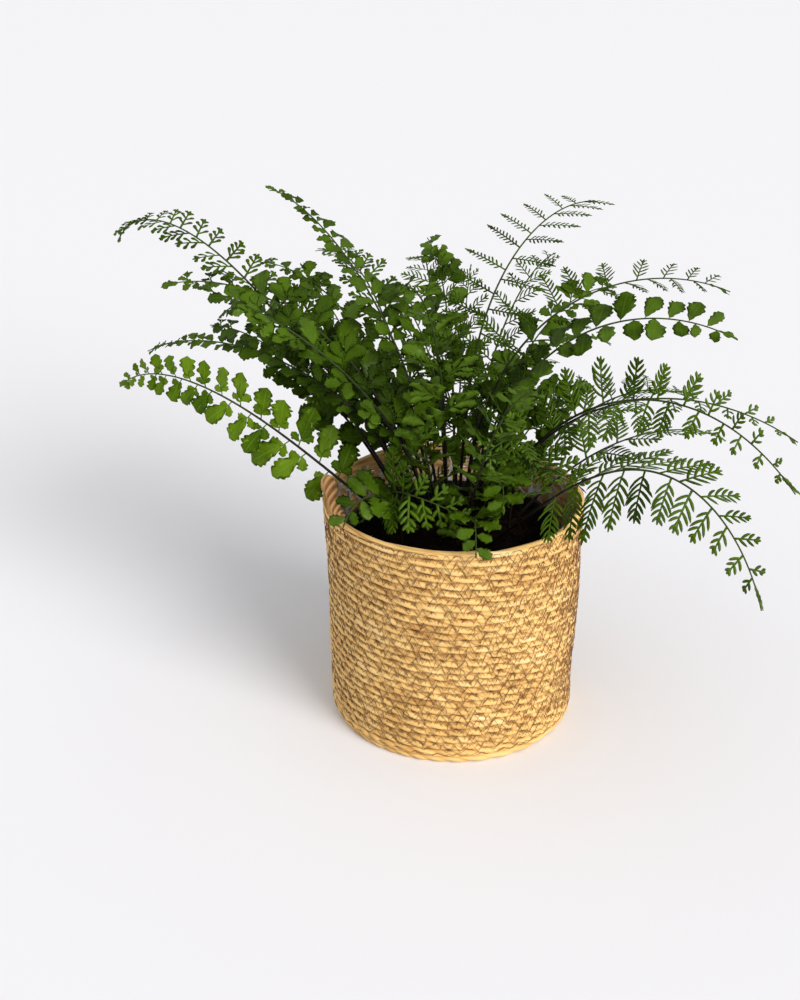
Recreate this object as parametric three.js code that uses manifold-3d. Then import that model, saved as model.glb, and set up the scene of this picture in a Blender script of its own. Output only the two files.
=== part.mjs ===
// A potted fern: a coiled seagrass basket with a rope handle, a clear liner, a nursery pot filled with
// soil, and a clump of cut fronds that rise from one crown. Millimetres, +Z up, origin at the centre of
// the basket's base. Azimuths are in degrees, counted from +X towards +Y.
import * as THREE from "three";
import { mergeVertices } from "three/addons/utils/BufferGeometryUtils.js";
import Module from "manifold-3d";

const wasm = await Module();
wasm.setup();

// ---- driving dimensions ----
const BASKET_HEIGHT = 150;
const RIM_RADIUS = 83;
const FOOT_RADIUS = 79;
const WAIST = { radius: 78.8, height: 42 }; // above it the basket flares to its rim
const FOOT_ROUND = 4; // radius of the soft edge round the base
const COIL = 7; // thickness of the coiled wall at the rim, and of the floor
const LOW_COIL = 6; // thickness of the wall near the floor
const CLEAR = 0.3; // gap between pieces that rest on each other

const ROPE_RADIUS = 4.2;
const HANDLE_AZIMUTH = 195;
const HANDLE_SPAN = 34; // degrees of rim from foot to foot
const HANDLE_RISE = 12.5; // height of the rope's centre over its feet
const HANDLE_LIFTED = 0.85; // share of the span that is lifted off the rim
const HANDLE_END_RADIUS = 3;
const FINGER_GAP = { centre: [-74, -19.75, 154.6], size: [24, 9.5, 7.2] }; // kept open under the handle

const FILM = 0.6; // thickness of the liner
const LINER_RADIUS = 71.4; // at its foot
const LINER_FLARE = 2.4; // how much wider its edge is
const CRINKLE = 0.6; // how far the film waves in and out

const POT_HEIGHT = 120;
const POT_RIM_RADIUS = 66;
const POT_BASE_RADIUS = 50;
const POT_WALL = 1.6;
const DRAIN_HOLES = 5;
const DRAIN_RADIUS = 4;

const SOIL_TOP = 123;
const CROWN_RADIUS = 47;
const CROWN_DEPTH = 8; // how far the crown sits in the soil
const CROWN_RISE = 5; // how far it stands out of it
const STALK_LEVEL = 126; // height at which each frond's azimuth and foot radius are given
const STALK_DEPTH = 7; // length of stalk below that level

const RIB = 0.6; // half the thickness of a leaflet along its rib
const RIB_END = 0.35; // half the thickness of the last rib point
const STEPS = 48; // steps of the sum along a frond
const BLADE_START = 0.27; // share of a frond's length at which the leaflets begin
const BLADE_END = 0.95; // and end
const ROOT = 1.3; // half the width of a leaflet where it meets the midrib
const FIRST_SHARE = 0.78; // length of the first leaflet over the longest
const WIDEST = 0.22; // place of the longest, from the first leaflet, 0, to the last, 1
const LAST_SHARE = 0.3; // length of the last over the longest
const SPREAD_LOST = 22; // degrees of its spread that a frond loses by its tip
const DROOP = 0.12; // drop of a leaflet's tip over its length
const LOBE_SPACING = 10.5; // of a cut leaflet
const LOBE_REACH = { fine: 0.34, feathery: 0.12 }; // length of a lobe over its leaflet's
const MOST_LOBES = 3; // a side
const SMALL_LEAFLET = 26; // a toothed leaflet shorter than this has no notch
const LOBE_SLANT = 46; // degrees between a lobe and its leaflet
const BROADNESS = 0.3; // half the width of a toothed leaflet over its length
const TIP_LENGTH = 0.07; // the leaflet that ends a frond, over the frond's length
const TIP_BROADNESS = { fine: 0.08, feathery: 0.08, broad: 0.15 };

// ---- the fronds ----
// Each row: kind, azimuth, foot radius, lean at the foot, lean at the tip, bend, sweep, length,
// half width, number of leaflets, roll, spread, cup. The spread is the degrees between the first leaflets
// and the midrib, and the cup the degrees by which the leaflets rise towards the upper face.
const COLUMNS = [
  "kind",
  "azimuth",
  "foot",
  "lean0",
  "lean1",
  "bend",
  "sweep",
  "length",
  "half",
  "leaflets",
  "roll",
  "spread",
  "cup",
];
const FRONDS = [
  // the long ones, from the left round to the right
  ["fine", 165, 22, 35, 137, 2.51, -37, 345, 28, 15, -12, 78, 13],
  ["broad", 144, 9, 10, 93, 1.42, -17, 280, 17, 13, 15, 75, 14],
  ["broad", 176, 24, 2, 120, 0.84, -33, 256, 16, 11, -10, 58, 14],
  ["broad", 159, 15, 17, 110, 1.46, 1, 260, 25, 13, -15, 70, 14],
  ["broad", 180, 35, 50, 133, 2.46, -42, 237, 30, 13, -75, 80, 16],
  ["fine", 85, 10, 4, 72, 1.5, 0, 178, 31, 11, -20, 66, 20],
  ["feathery", 50, 5, 2, 104, 2.47, -12, 252, 50, 15, -3, 94, 9],
  ["fine", -12, 7, 2, 109, 1.65, -3, 266, 42, 15, -45, 85, 12],
  ["broad", -24, 16, 2, 112, 1.51, 1, 254, 27, 13, 26, 91, 11],
  ["broad", 20, 14, 3, 132, 2.4, 0, 176, 12, 11, 0, 58, 14],
  ["fine", -30, 24, 12, 118, 1.05, -32, 291, 30, 15, 60, 85, 23],
  ["fine", -10, 26, 2, 114, 0.86, -22, 238, 26, 11, 20, 78, 20],
  ["fine", -49, 33, 45, 146, 2.51, -20, 292, 44, 15, 29, 87, -20],
  // the front, over the near rim
  ["fine", 203, 34, 2, 136, 1.07, 181, 106, 30, 9, 75, 74, 20],
  ["broad", 282, 41, 4, 150, 1.41, -12, 83, 22, 7, 0, 74, 14],
  ["broad", 304, 30, 3, 150, 1.92, -36, 110, 26, 7, 0, 74, 14],
  // the dense middle, the tall ones and then the short ones
  ["fine", 341, 36, 3, 132, 2.25, -130, 126, 34, 9, -55, 74, 20],
  ["broad", 137, 28, 28, 134, 1.72, 3, 250, 24, 9, -30, 62, 14],
  ["broad", 252, 14, 3, 86, 2.17, 4, 241, 24, 9, 30, 62, 14],
  ["broad", 152, 24, 29, 96, 1.22, -25, 228, 24, 9, -28, 62, 14],
  ["broad", 112, 14, 2, 109, 1.86, 10, 188, 24, 9, -20, 62, 14],
  ["broad", 280, 29, 32, 65, 2.26, 7, 220, 24, 9, -27, 62, 14],
  ["broad", 130, 33, 33, 65, 1.37, -3, 193, 24, 9, -12, 62, 14],
  ["broad", 41, 15, 14, 106, 2.25, -3, 198, 24, 9, 25, 62, 14],
  ["broad", 183, 15, 6, 78, 0.9, -18, 223, 24, 9, -30, 62, 14],
  ["fine", 100, 23, 29, 127, 2.27, -5, 241, 31, 9, -20, 66, 20],
  ["broad", 118, 32, 35, 100, 1.73, 23, 242, 20, 13, 4, 62, 14],
  ["fine", 112, 36, 36, 119, 2.3, 6, 253, 28, 8, -4, 66, 20],
  ["broad", 90, 29, 31, 87, 1.92, 14, 218, 24, 9, -17, 62, 14],
  ["fine", 135, 21, 26, 72, 2.3, 2, 112, 31, 7, -30, 66, 20],
  ["broad", 150, 34, 34, 104, 1.3, -16, 215, 22, 9, -30, 62, 14],
  ["broad", 244, 21, 13, 65, 2.3, 15, 112, 24, 7, 17, 62, 14],
  ["fine", 322, 15, 10, 112, 1.2, -12, 125, 28, 9, 28, 70, 20],
  ["broad", 18, 20, 15, 72, 1.41, 17, 115, 24, 7, 30, 62, 14],
  ["broad", 220, 41, 5, 150, 1.6, 19, 85, 24, 7, -25, 70, 14],
  ["fine", 62, 12, 12, 95, 1.8, 0, 210, 31, 7, 0, 66, 20],
  // the back, low and wide
  ["fine", 42, 33, 48, 126, 1.4, -6, 205, 36, 7, 0, 66, 20],
  ["broad", 76, 38, 46, 128, 1.3, 0, 200, 26, 9, 0, 62, 14],
  ["fine", 14, 39, 42, 122, 1.4, 8, 165, 30, 9, 0, 70, 20],
].map((row, i) => ({
  name: "frond_" + String(i + 1).padStart(2, "0"),
  ...Object.fromEntries(COLUMNS.map((column, k) => [column, row[k]])),
  seed: i,
}));

// ---- colours ----
const finish = (color, roughness) => new THREE.MeshStandardMaterial({ color, roughness, metalness: 0 });
const SEAGRASS = finish(0xc99a55, 0.8);
const ROPE = finish(0xb9834a, 0.8);
const CLEAR_FILM = finish(0xd9dcd8, 0.25);
const BLACK_PLASTIC = finish(0x17181a, 0.5);
const SOIL = finish(0x241a13, 0.95);
const SCALES = finish(0x2b1d12, 0.9);
const CUT_LEAF = finish(0x2f6a1c, 0.4);
const TOOTHED_LEAF = finish(0x357a1e, 0.35);
const YOUNG_LEAF = finish(0x5c9e22, 0.4);
const YOUNG_FROND = 4; // the bright frond over the left rim

// ---- small helpers ----
const rad = THREE.MathUtils.degToRad;
const fraction = (x) => x - Math.floor(x);
const GOLDEN = 0.6180339887;
// An even scatter between -1 and 1 for the i-th frond and its j-th leaflet.
const scatter = (i, j) => 2 * fraction(0.37 + i * GOLDEN + j * 0.7548776662) - 1;
const mix = (a, b, t) => a + (b - a) * t;
const along = (origin, ...steps) =>
  steps.reduce((p, [v, s]) => p.addScaledVector(v, s), origin.clone());
const polar = (radius, degrees, z) =>
  new THREE.Vector3(radius * Math.cos(rad(degrees)), radius * Math.sin(rad(degrees)), z);

// A closed mesh with shared vertices and no empty triangles, facing out.
function weld(geometry) {
  const g = geometry.clone();
  for (const name of Object.keys(g.attributes)) if (name !== "position") g.deleteAttribute(name);
  const merged = mergeVertices(g, 1e-4);
  const ids = merged.index.array;
  const faces = [];
  for (let i = 0; i < ids.length; i += 3) {
    const [a, b, c] = [ids[i], ids[i + 1], ids[i + 2]];
    if (a !== b && b !== c && c !== a) faces.push(a, b, c);
  }
  merged.setIndex(faces);
  return merged;
}

const solidOf = (geometry) =>
  new wasm.Manifold(
    new wasm.Mesh({
      numProp: 3,
      vertProperties: new Float32Array(geometry.attributes.position.array),
      triVerts: new Uint32Array(geometry.index.array),
    }),
  );

function geometryOf(solid) {
  const mesh = solid.getMesh();
  return new THREE.BufferGeometry()
    .setAttribute("position", new THREE.BufferAttribute(mesh.vertProperties.slice(), 3))
    .setIndex(new THREE.BufferAttribute(mesh.triVerts.slice(), 1));
}

// A profile of [radius, z] points, from the axis round to the axis, turned about Z.
function turned(profile, sides) {
  const points = profile.map(([r, z]) => new THREE.Vector2(r, z));
  return weld(new THREE.LatheGeometry(points, sides).rotateX(Math.PI / 2));
}

// Points of a round corner of a profile, from one angle to another.
function corner(x, z, radius, from, to, steps) {
  return Array.from({ length: steps + 1 }, (_, i) => {
    const a = rad(mix(from, to, i / steps));
    return [x + radius * Math.cos(a), z + radius * Math.sin(a)];
  });
}

// A closed tube of round section along points, with a radius for each.
function tube(points, radii, sides) {
  const positions = [];
  const faces = [];
  const up = new THREE.Vector3(0, 0, 1);
  points.forEach((p, i) => {
    const ahead = points[Math.min(i + 1, points.length - 1)].clone();
    const tangent = ahead.sub(points[Math.max(i - 1, 0)]).normalize();
    const side = new THREE.Vector3().crossVectors(tangent, up).normalize();
    const top = new THREE.Vector3().crossVectors(side, tangent);
    for (let k = 0; k < sides; k++) {
      const a = (2 * Math.PI * (k + 0.5)) / sides;
      positions.push(...along(p, [side, radii[i] * Math.cos(a)], [top, radii[i] * Math.sin(a)]));
    }
  });
  const ring = (i, k) => i * sides + (k % sides);
  for (let i = 0; i + 1 < points.length; i++)
    for (let k = 0; k < sides; k++) {
      faces.push(ring(i, k), ring(i + 1, k), ring(i + 1, k + 1));
      faces.push(ring(i, k), ring(i + 1, k + 1), ring(i, k + 1));
    }
  const last = points.length - 1;
  for (let k = 1; k + 1 < sides; k++) {
    faces.push(ring(0, 0), ring(0, k), ring(0, k + 1));
    faces.push(ring(last, 0), ring(last, k + 1), ring(last, k));
  }
  return new THREE.BufferGeometry()
    .setAttribute("position", new THREE.Float32BufferAttribute(positions, 3))
    .setIndex(faces);
}

// ---- basket, handle, liner, pot, soil and crown ----
const BASKET_SIDES = 30;

function basket() {
  const inner = RIM_RADIUS - COIL;
  const lip = COIL / 2;
  return turned(
    [
      [0, 0],
      ...corner(FOOT_RADIUS - FOOT_ROUND, FOOT_ROUND, FOOT_ROUND, -90, 0, 3),
      [WAIST.radius, WAIST.height],
      [RIM_RADIUS, BASKET_HEIGHT - lip * 0.7],
      [RIM_RADIUS - 1, BASKET_HEIGHT - 0.8],
      [RIM_RADIUS - 2.2, BASKET_HEIGHT],
      [inner + 2.2, BASKET_HEIGHT],
      [inner + 1, BASKET_HEIGHT - 0.8],
      [inner, BASKET_HEIGHT - lip * 0.7],
      [FOOT_RADIUS - LOW_COIL, COIL + 6],
      [FOOT_RADIUS - LOW_COIL - 6, COIL],
      [0, COIL],
    ],
    BASKET_SIDES,
  );
}

// The rope lies on the rim at both ends, where it is thinner, and arches between them.
function handle() {
  const radius = RIM_RADIUS - COIL / 2;
  const count = 16;
  const sides = 8;
  const points = [];
  const radii = [];
  for (let i = 0; i <= count; i++) {
    const s = (2 * i) / count - 1;
    const lifted = Math.cos((Math.min(Math.abs(s) / HANDLE_LIFTED, 1) * Math.PI) / 2) ** 2;
    const thick = mix(HANDLE_END_RADIUS, ROPE_RADIUS, lifted ** 0.3);
    const bottom = thick * Math.cos(Math.PI / sides);
    points.push(
      polar(
        radius,
        HANDLE_AZIMUTH + (s * HANDLE_SPAN) / 2,
        BASKET_HEIGHT + CLEAR + bottom + HANDLE_RISE * lifted,
      ),
    );
    radii.push(thick);
  }
  return tube(points, radii, sides);
}

// A thin cup whose wall waves in and out. Both faces share one wave, so they never cross.
function liner() {
  const sides = 24;
  const floor = COIL + CLEAR;
  const levels = [floor + 8, 75, 130, BASKET_HEIGHT - 2];
  const wave = (k, row) => CRINKLE * Math.sin(k * 2.4 + row * 1.9);
  const lip = (k, row) => (row === levels.length - 1 ? 1.2 * Math.sin(k * 1.7) : 0);
  const flare = (z) => LINER_FLARE * (z / BASKET_HEIGHT) ** 2;
  const positions = [];
  const faces = [];
  const put = (radius, k, z) => positions.push(...polar(radius, (360 * k) / sides, z));
  for (const offset of [0, FILM]) {
    for (let k = 0; k < sides; k++) put(LINER_RADIUS - 7 - offset, k, floor + offset);
    levels.forEach((z, row) => {
      for (let k = 0; k < sides; k++)
        put(LINER_RADIUS - offset + wave(k, row) + flare(z), k, z + lip(k, row));
    });
  }
  const rows = levels.length + 1;
  const id = (face, row, k) => (face * rows + row) * sides + (k % sides);
  for (let k = 0; k < sides; k++) {
    for (let row = 0; row + 1 < rows; row++) {
      faces.push(id(0, row, k), id(0, row, k + 1), id(0, row + 1, k + 1));
      faces.push(id(0, row, k), id(0, row + 1, k + 1), id(0, row + 1, k));
      faces.push(id(1, row, k), id(1, row + 1, k + 1), id(1, row, k + 1));
      faces.push(id(1, row, k), id(1, row + 1, k), id(1, row + 1, k + 1));
    }
    faces.push(id(0, rows - 1, k), id(0, rows - 1, k + 1), id(1, rows - 1, k + 1));
    faces.push(id(0, rows - 1, k), id(1, rows - 1, k + 1), id(1, rows - 1, k));
  }
  [floor, floor + FILM].forEach((z, face) => {
    const centre = positions.length / 3;
    positions.push(0, 0, z);
    for (let k = 0; k < sides; k++)
      if (face) faces.push(centre, id(face, 0, k), id(face, 0, k + 1));
      else faces.push(centre, id(face, 0, k + 1), id(face, 0, k));
  });
  return new THREE.BufferGeometry()
    .setAttribute("position", new THREE.Float32BufferAttribute(positions, 3))
    .setIndex(faces);
}

const POT_FLOOR = COIL + CLEAR + FILM + CLEAR; // underside of the nursery pot
const POT_SIDES = 24;

function nurseryPot() {
  const top = POT_FLOOR + POT_HEIGHT;
  const bead = 2.5;
  let pot = solidOf(
    turned(
      [
        [0, POT_FLOOR],
        [POT_BASE_RADIUS, POT_FLOOR],
        [POT_RIM_RADIUS - bead, top - 10],
        [POT_RIM_RADIUS, top - 9],
        [POT_RIM_RADIUS, top],
        [POT_RIM_RADIUS - bead - POT_WALL, top],
        [POT_BASE_RADIUS - POT_WALL, POT_FLOOR + POT_WALL],
        [0, POT_FLOOR + POT_WALL],
      ],
      POT_SIDES,
    ),
  );
  for (let i = 0; i < DRAIN_HOLES; i++) {
    const drill = new THREE.CylinderGeometry(DRAIN_RADIUS, DRAIN_RADIUS, 10, 6).rotateX(Math.PI / 2);
    drill.translate(...polar(POT_BASE_RADIUS * 0.62, (360 * i) / DRAIN_HOLES, POT_FLOOR));
    pot = pot.subtract(solidOf(weld(drill)));
  }
  return geometryOf(pot);
}

// Radius of the pot's inner wall at height z.
function potInside(z) {
  const share = (z - POT_FLOOR) / POT_HEIGHT;
  return mix(POT_BASE_RADIUS, POT_RIM_RADIUS - 2.5, share) - POT_WALL;
}

// The soil fills the pot, with a shallow seat in which the crown sits.
function soil() {
  const gap = CLEAR + 0.5; // the facets of the pot cut its corners by this much
  const floor = POT_FLOOR + POT_WALL + CLEAR;
  const seat = SOIL_TOP - CROWN_DEPTH;
  return turned(
    [
      [0, floor],
      [potInside(floor) - gap, floor],
      [potInside(SOIL_TOP - 3) - gap, SOIL_TOP - 3],
      [potInside(SOIL_TOP) - gap - 4, SOIL_TOP - 1],
      [CROWN_RADIUS + 4, SOIL_TOP],
      [CROWN_RADIUS + gap, SOIL_TOP - 0.6],
      [CROWN_RADIUS + gap - 3, seat],
      [0, seat],
    ],
    POT_SIDES,
  );
}

// The crown is a low mound with a plain hole for each stalk.
function crown() {
  const low = SOIL_TOP - CROWN_DEPTH + CLEAR;
  const side = Math.hypot(3, CROWN_DEPTH);
  let mound = solidOf(
    turned(
      [
        [0, low],
        [CROWN_RADIUS - (3 * CROWN_DEPTH) / side, low],
        [CROWN_RADIUS, SOIL_TOP - 0.5],
        [CROWN_RADIUS * 0.8, SOIL_TOP + CROWN_RISE * 0.55],
        [CROWN_RADIUS * 0.4, SOIL_TOP + CROWN_RISE],
        [0, SOIL_TOP + CROWN_RISE],
      ],
      POT_SIDES,
    ),
  );
  for (const f of FRONDS) {
    const start = frameAt(f, 0);
    const from = along(start.point, [start.tangent, -STALK_DEPTH - CLEAR]);
    const to = along(start.point, [start.tangent, CROWN_RISE + 3]);
    const bore = Math.SQRT2 * stalkHalf(f, 0) + CLEAR;
    mound = mound.subtract(solidOf(tube([from, to], [bore, bore], 6)));
  }
  return geometryOf(mound);
}

// ---- the course of a frond ----
// The lean from the vertical goes from lean0 to lean1 as the power `bend` of the way along, while the
// azimuth turns by `sweep`. The tangent is the direction of that lean and azimuth, the normal is the
// upper face's, and side = tangent x normal points to the right of the frond.
function directionAt(f, t) {
  const lean = rad(mix(f.lean0, f.lean1, Math.max(t, 0) ** f.bend));
  const a = rad(f.azimuth + f.sweep * t);
  const tangent = new THREE.Vector3(
    Math.sin(lean) * Math.cos(a),
    Math.sin(lean) * Math.sin(a),
    Math.cos(lean),
  );
  const normal = new THREE.Vector3(
    -Math.cos(lean) * Math.cos(a),
    -Math.cos(lean) * Math.sin(a),
    Math.sin(lean),
  ).applyAxisAngle(tangent, rad(f.roll) * Math.min(1, t * 3));
  return { tangent, normal, side: new THREE.Vector3().crossVectors(tangent, normal) };
}

// The points of a frond's midrib are the running sum of its tangents.
for (const f of FRONDS) {
  f.course = [polar(f.foot, f.azimuth, STALK_LEVEL)];
  for (let i = 0; i < STEPS; i++) {
    const { tangent } = directionAt(f, (i + 0.5) / STEPS);
    f.course.push(along(f.course[i], [tangent, f.length / STEPS]));
  }
}

function frameAt(f, t) {
  const frame = directionAt(f, t);
  const x = THREE.MathUtils.clamp(t, 0, 1) * STEPS;
  const i = Math.min(Math.floor(x), STEPS - 1);
  frame.point = f.course[i].clone().lerp(f.course[i + 1], x - i);
  if (t < 0) frame.point.addScaledVector(frame.tangent, t * f.length);
  return frame;
}

// Half the width of the square stalk, which thins towards the tip.
const stalkHalf = (f, t) => mix(1.05, 0.5, Math.max(t, 0)) * (f.length > 200 ? 1 : 0.85);

// ---- leaflets ----
// Share of the half width at u, from the first leaflet to the last.
const envelope = (u) =>
  u < WIDEST
    ? mix(FIRST_SHARE, 1, u / WIDEST)
    : mix(1, LAST_SHARE, ((u - WIDEST) / (1 - WIDEST)) ** 1.25);

// A cut leaflet: narrow lobes that lean forward, one to three a side by its length.
function cutOutline(length, share) {
  const lobes = THREE.MathUtils.clamp(Math.round(length / LOBE_SPACING), 1, MOST_LOBES);
  const start = 0.12 * length;
  const pitch = (0.9 * length - start) / lobes;
  const reach = Math.min(LOBE_SPACING, share * length + 1);
  const slant = rad(LOBE_SLANT);
  const outline = [];
  const ribs = [];
  const turns = [];
  for (let i = 0; i < lobes; i++) {
    const lobe = reach * mix(1, 0.55, i / lobes);
    const x = start + (i + 0.5) * pitch;
    outline.push([start + i * pitch, 0.8]);
    outline.push([x + lobe * Math.cos(slant), 0.8 + lobe * Math.sin(slant)]);
    ribs.push(x);
    if (i) turns.push(2 * i + 1);
  }
  return { outline, ribs, turns, length };
}

// A toothed leaflet: an oval with a notch, on a narrow stalk.
function toothedOutline(length, half) {
  const small = length < SMALL_LEAFLET;
  const shape = small
    ? [
        [0.14, 0.12],
        [0.44, 1],
        [0.76, 0.58],
      ]
    : [
        [0.12, 0.1],
        [0.34, 0.92],
        [0.47, 0.72],
        [0.64, 1],
        [0.86, 0.46],
      ];
  return {
    outline: shape.map(([x, y]) => [x * length, y * half]),
    ribs: (small ? [0.5] : [0.34, 0.66]).map((x) => x * length),
    turns: small ? [] : [3],
    length,
  };
}

// The points of a leaflet in space. `frame` holds its root, its axis, `first`, the direction of its
// first edge, and its normal. It droops with the square of the way along, and is a lens: thick at the
// rib, sharp at the edge.
function leafPoints(shape, frame, droop, swell) {
  const place = (x, y, z) => {
    const drop = -droop * (x / shape.length) ** 2;
    return along(frame.root, [frame.axis, x], [frame.first, y], [frame.normal, z + drop]);
  };
  const thick = (i) => mix(RIB, RIB_END, i / shape.ribs.length) + swell;
  return {
    first: shape.outline.map(([x, y]) => place(x, y, 0)),
    second: shape.outline.map(([x, y]) => place(x, -y, 0)),
    top: shape.ribs.map((x, i) => place(x, 0, thick(i))),
    bottom: shape.ribs.map((x, i) => place(x, 0, -thick(i))),
    tip: place(shape.length, 0, 0),
    turns: shape.turns,
  };
}

// The faces of a leaflet between the corners of its root, each [top, bottom]. Both faces are split
// alike, so they never cross.
function leafFaces(faces, put, one, two, leaf) {
  const first = leaf.first.map(put);
  const second = leaf.second.map(put);
  const tip = put(leaf.tip);
  [leaf.top.map(put), leaf.bottom.map(put)].forEach((ribs, face) => {
    const add = (a, b, c) => (face ? faces.push(a, c, b) : faces.push(a, b, c));
    add(two[face], one[face], ribs[0]);
    [
      [one[face], ...first, tip],
      [two[face], ...second, tip],
    ].forEach((edge, back) => {
      let r = 0;
      for (let i = 0; i + 1 < edge.length; i++) {
        if (leaf.turns.includes(i)) {
          if (back) add(edge[i], ribs[r], ribs[r + 1]);
          else add(edge[i], ribs[r + 1], ribs[r]);
          r += 1;
        }
        if (back) add(edge[i + 1], edge[i], ribs[r]);
        else add(edge[i], edge[i + 1], ribs[r]);
      }
    });
  });
  faces.push(first[0], one[0], one[1], two[0], second[0], two[1]);
}

// A store of vertices and faces.
function drafting() {
  const positions = [];
  const faces = [];
  return {
    faces,
    put: (v) => positions.push(v.x, v.y, v.z) / 3 - 1,
    geometry: () =>
      new THREE.BufferGeometry()
        .setAttribute("position", new THREE.Float32BufferAttribute(positions, 3))
        .setIndex(faces),
  };
}

const BARE = [0, 0.3, 0.6, 0.9].map((share) => share * BLADE_START); // places along the bare stalk

// The places of a frond's leaflets, right and left in turn: at[j] is the way along of the j-th.
function stations(f) {
  const half = ROOT / f.length;
  const at = [];
  for (let j = 0; j < f.leaflets; j++) at.push(mix(BLADE_START, BLADE_END, (j + 0.5) / f.leaflets));
  const sides = [0, 1].map((side) => [
    -STALK_DEPTH / f.length,
    ...BARE,
    ...at.flatMap((t, j) => (j % 2 === side ? [t - half, t + half] : [])),
    BLADE_END + half,
  ]);
  return { at, sides };
}

// The frame of the j-th leaflet, with its cup, its angle from the midrib and its length changed.
function leafFrame(f, j, t, change) {
  const { point, tangent, normal, side } = frameAt(f, t);
  const u = j / (f.leaflets - 1);
  const out = j % 2 ? -1 : 1; // right leaflets are even
  const angle = rad(f.spread - SPREAD_LOST * u + 5 * scatter(f.seed, j) + change.angle);
  const cup = rad(f.cup + 8 * scatter(f.seed + 31, j) + change.cup);
  const axis = new THREE.Vector3()
    .addScaledVector(tangent, Math.cos(angle))
    .addScaledVector(side, out * Math.sin(angle) * Math.cos(cup))
    .addScaledVector(normal, Math.sin(angle) * Math.sin(cup));
  const forward = tangent.clone().addScaledVector(axis, -tangent.dot(axis)).normalize();
  const up = new THREE.Vector3().crossVectors(forward, axis).multiplyScalar(-out);
  return {
    root: along(point, [side, out * stalkHalf(f, t)]),
    axis,
    first: forward.clone().multiplyScalar(-out), // the right leaflet's first edge looks back
    normal: up,
  };
}

function leaflet(f, j, t, change, swell = 0) {
  const u = j / (f.leaflets - 1);
  const length = f.half * envelope(u) * (1 + 0.08 * scatter(f.seed + 7, j)) * change.scale;
  const grown = length + 2.5 * Math.sign(swell);
  const shape =
    f.kind === "broad"
      ? toothedOutline(grown, grown * BROADNESS + 1.2 * Math.sign(swell))
      : cutOutline(grown, LOBE_REACH[f.kind]);
  return leafPoints(shape, leafFrame(f, j, t, change), DROOP * length, swell);
}

function endLeaflet(f, t) {
  const { point, tangent, normal, side } = frameAt(f, t);
  const length = Math.max(9, TIP_LENGTH * f.length);
  const shape = toothedOutline(length, TIP_BROADNESS[f.kind] * length);
  return leafPoints(shape, { root: point, axis: tangent, first: side, normal }, DROOP * length, 0);
}

// A frond as one closed surface. The midrib is square, with its corners in four lines; each leaflet
// takes the place of a short stretch of its side wall. `leaves` maps a leaflet's number to its points.
function frond(f, leaves) {
  const { put, faces, geometry } = drafting();
  const { at, sides } = stations(f);
  const [right, left] = sides.map((list, k) => {
    const out = k ? -1 : 1;
    return list.map((t) => {
      const { point, side, normal } = frameAt(f, t);
      const half = stalkHalf(f, t);
      return [1, -1].map((up) => put(along(point, [side, out * half], [normal, up * half])));
    });
  });
  let [i, j] = [0, 0];
  while (i + 1 < right.length || j + 1 < left.length) {
    const turn = j + 1 >= left.length || (i + 1 < right.length && sides[0][i + 1] <= sides[1][j + 1]);
    [0, 1].forEach((face) => {
      const next = turn ? right[i + 1][face] : left[j + 1][face];
      const add = (a, b, c) => (face ? faces.push(a, c, b) : faces.push(a, b, c));
      add(right[i][face], next, left[j][face]);
    });
    if (turn) i += 1;
    else j += 1;
  }
  [right, left].forEach((wall, k) => {
    const first = 1 + BARE.length; // the wall's first leaflet
    const open = new Map();
    at.forEach((t, n) => {
      if (n % 2 === k && leaves.has(n)) open.set(first + (n - k), leaves.get(n));
    });
    for (let s = 0; s + 1 < wall.length; s++) {
      const [a, b] = k ? [wall[s + 1], wall[s]] : [wall[s], wall[s + 1]];
      if (open.has(s)) leafFaces(faces, put, a, b, open.get(s));
      else faces.push(b[0], a[0], a[1], b[0], a[1], b[1]);
    }
  });
  faces.push(right[0][0], left[0][0], left[0][1], right[0][0], left[0][1], right[0][1]);
  leafFaces(faces, put, right.at(-1), left.at(-1), endLeaflet(f, sides[0].at(-1)));
  return geometry();
}

// One leaflet as a closed solid of its own, to see whether it is clear of the rest.
function leafSolid(f, t, out, leaf) {
  const { put, faces, geometry } = drafting();
  const half = ROOT / f.length;
  const ends = [t - half, t + half].map((s) => {
    const { point, side, normal } = frameAt(f, s);
    const w = stalkHalf(f, s);
    return [1, -1].map((up) => put(along(point, [side, out * w], [normal, up * w])));
  });
  const [one, two] = out > 0 ? ends : [ends[1], ends[0]];
  leafFaces(faces, put, one, two, leaf);
  faces.push(one[0], two[0], two[1], one[0], two[1], one[1]);
  return solidOf(geometry());
}

// ---- the clump: each leaflet that would cross something is bent clear, or left out ----
const CHANGES = [
  { cup: 0, angle: 0, scale: 1 },
  { cup: 14, angle: 0, scale: 1 },
  { cup: -14, angle: 0, scale: 1 },
  { cup: 28, angle: -6, scale: 1 },
  { cup: -28, angle: -6, scale: 0.95 },
  { cup: 0, angle: -18, scale: 0.9 },
  { cup: 42, angle: -10, scale: 0.9 },
  { cup: -42, angle: -10, scale: 0.85 },
  { cup: 20, angle: -22, scale: 0.8 },
  { cup: -20, angle: -22, scale: 0.75 },
  { cup: 0, angle: 0, scale: 0.6 },
  { cup: 0, angle: -25, scale: 0.5 },
];
const SWELL = 0.7; // extra half thickness of a leaflet while its place is tried

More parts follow.
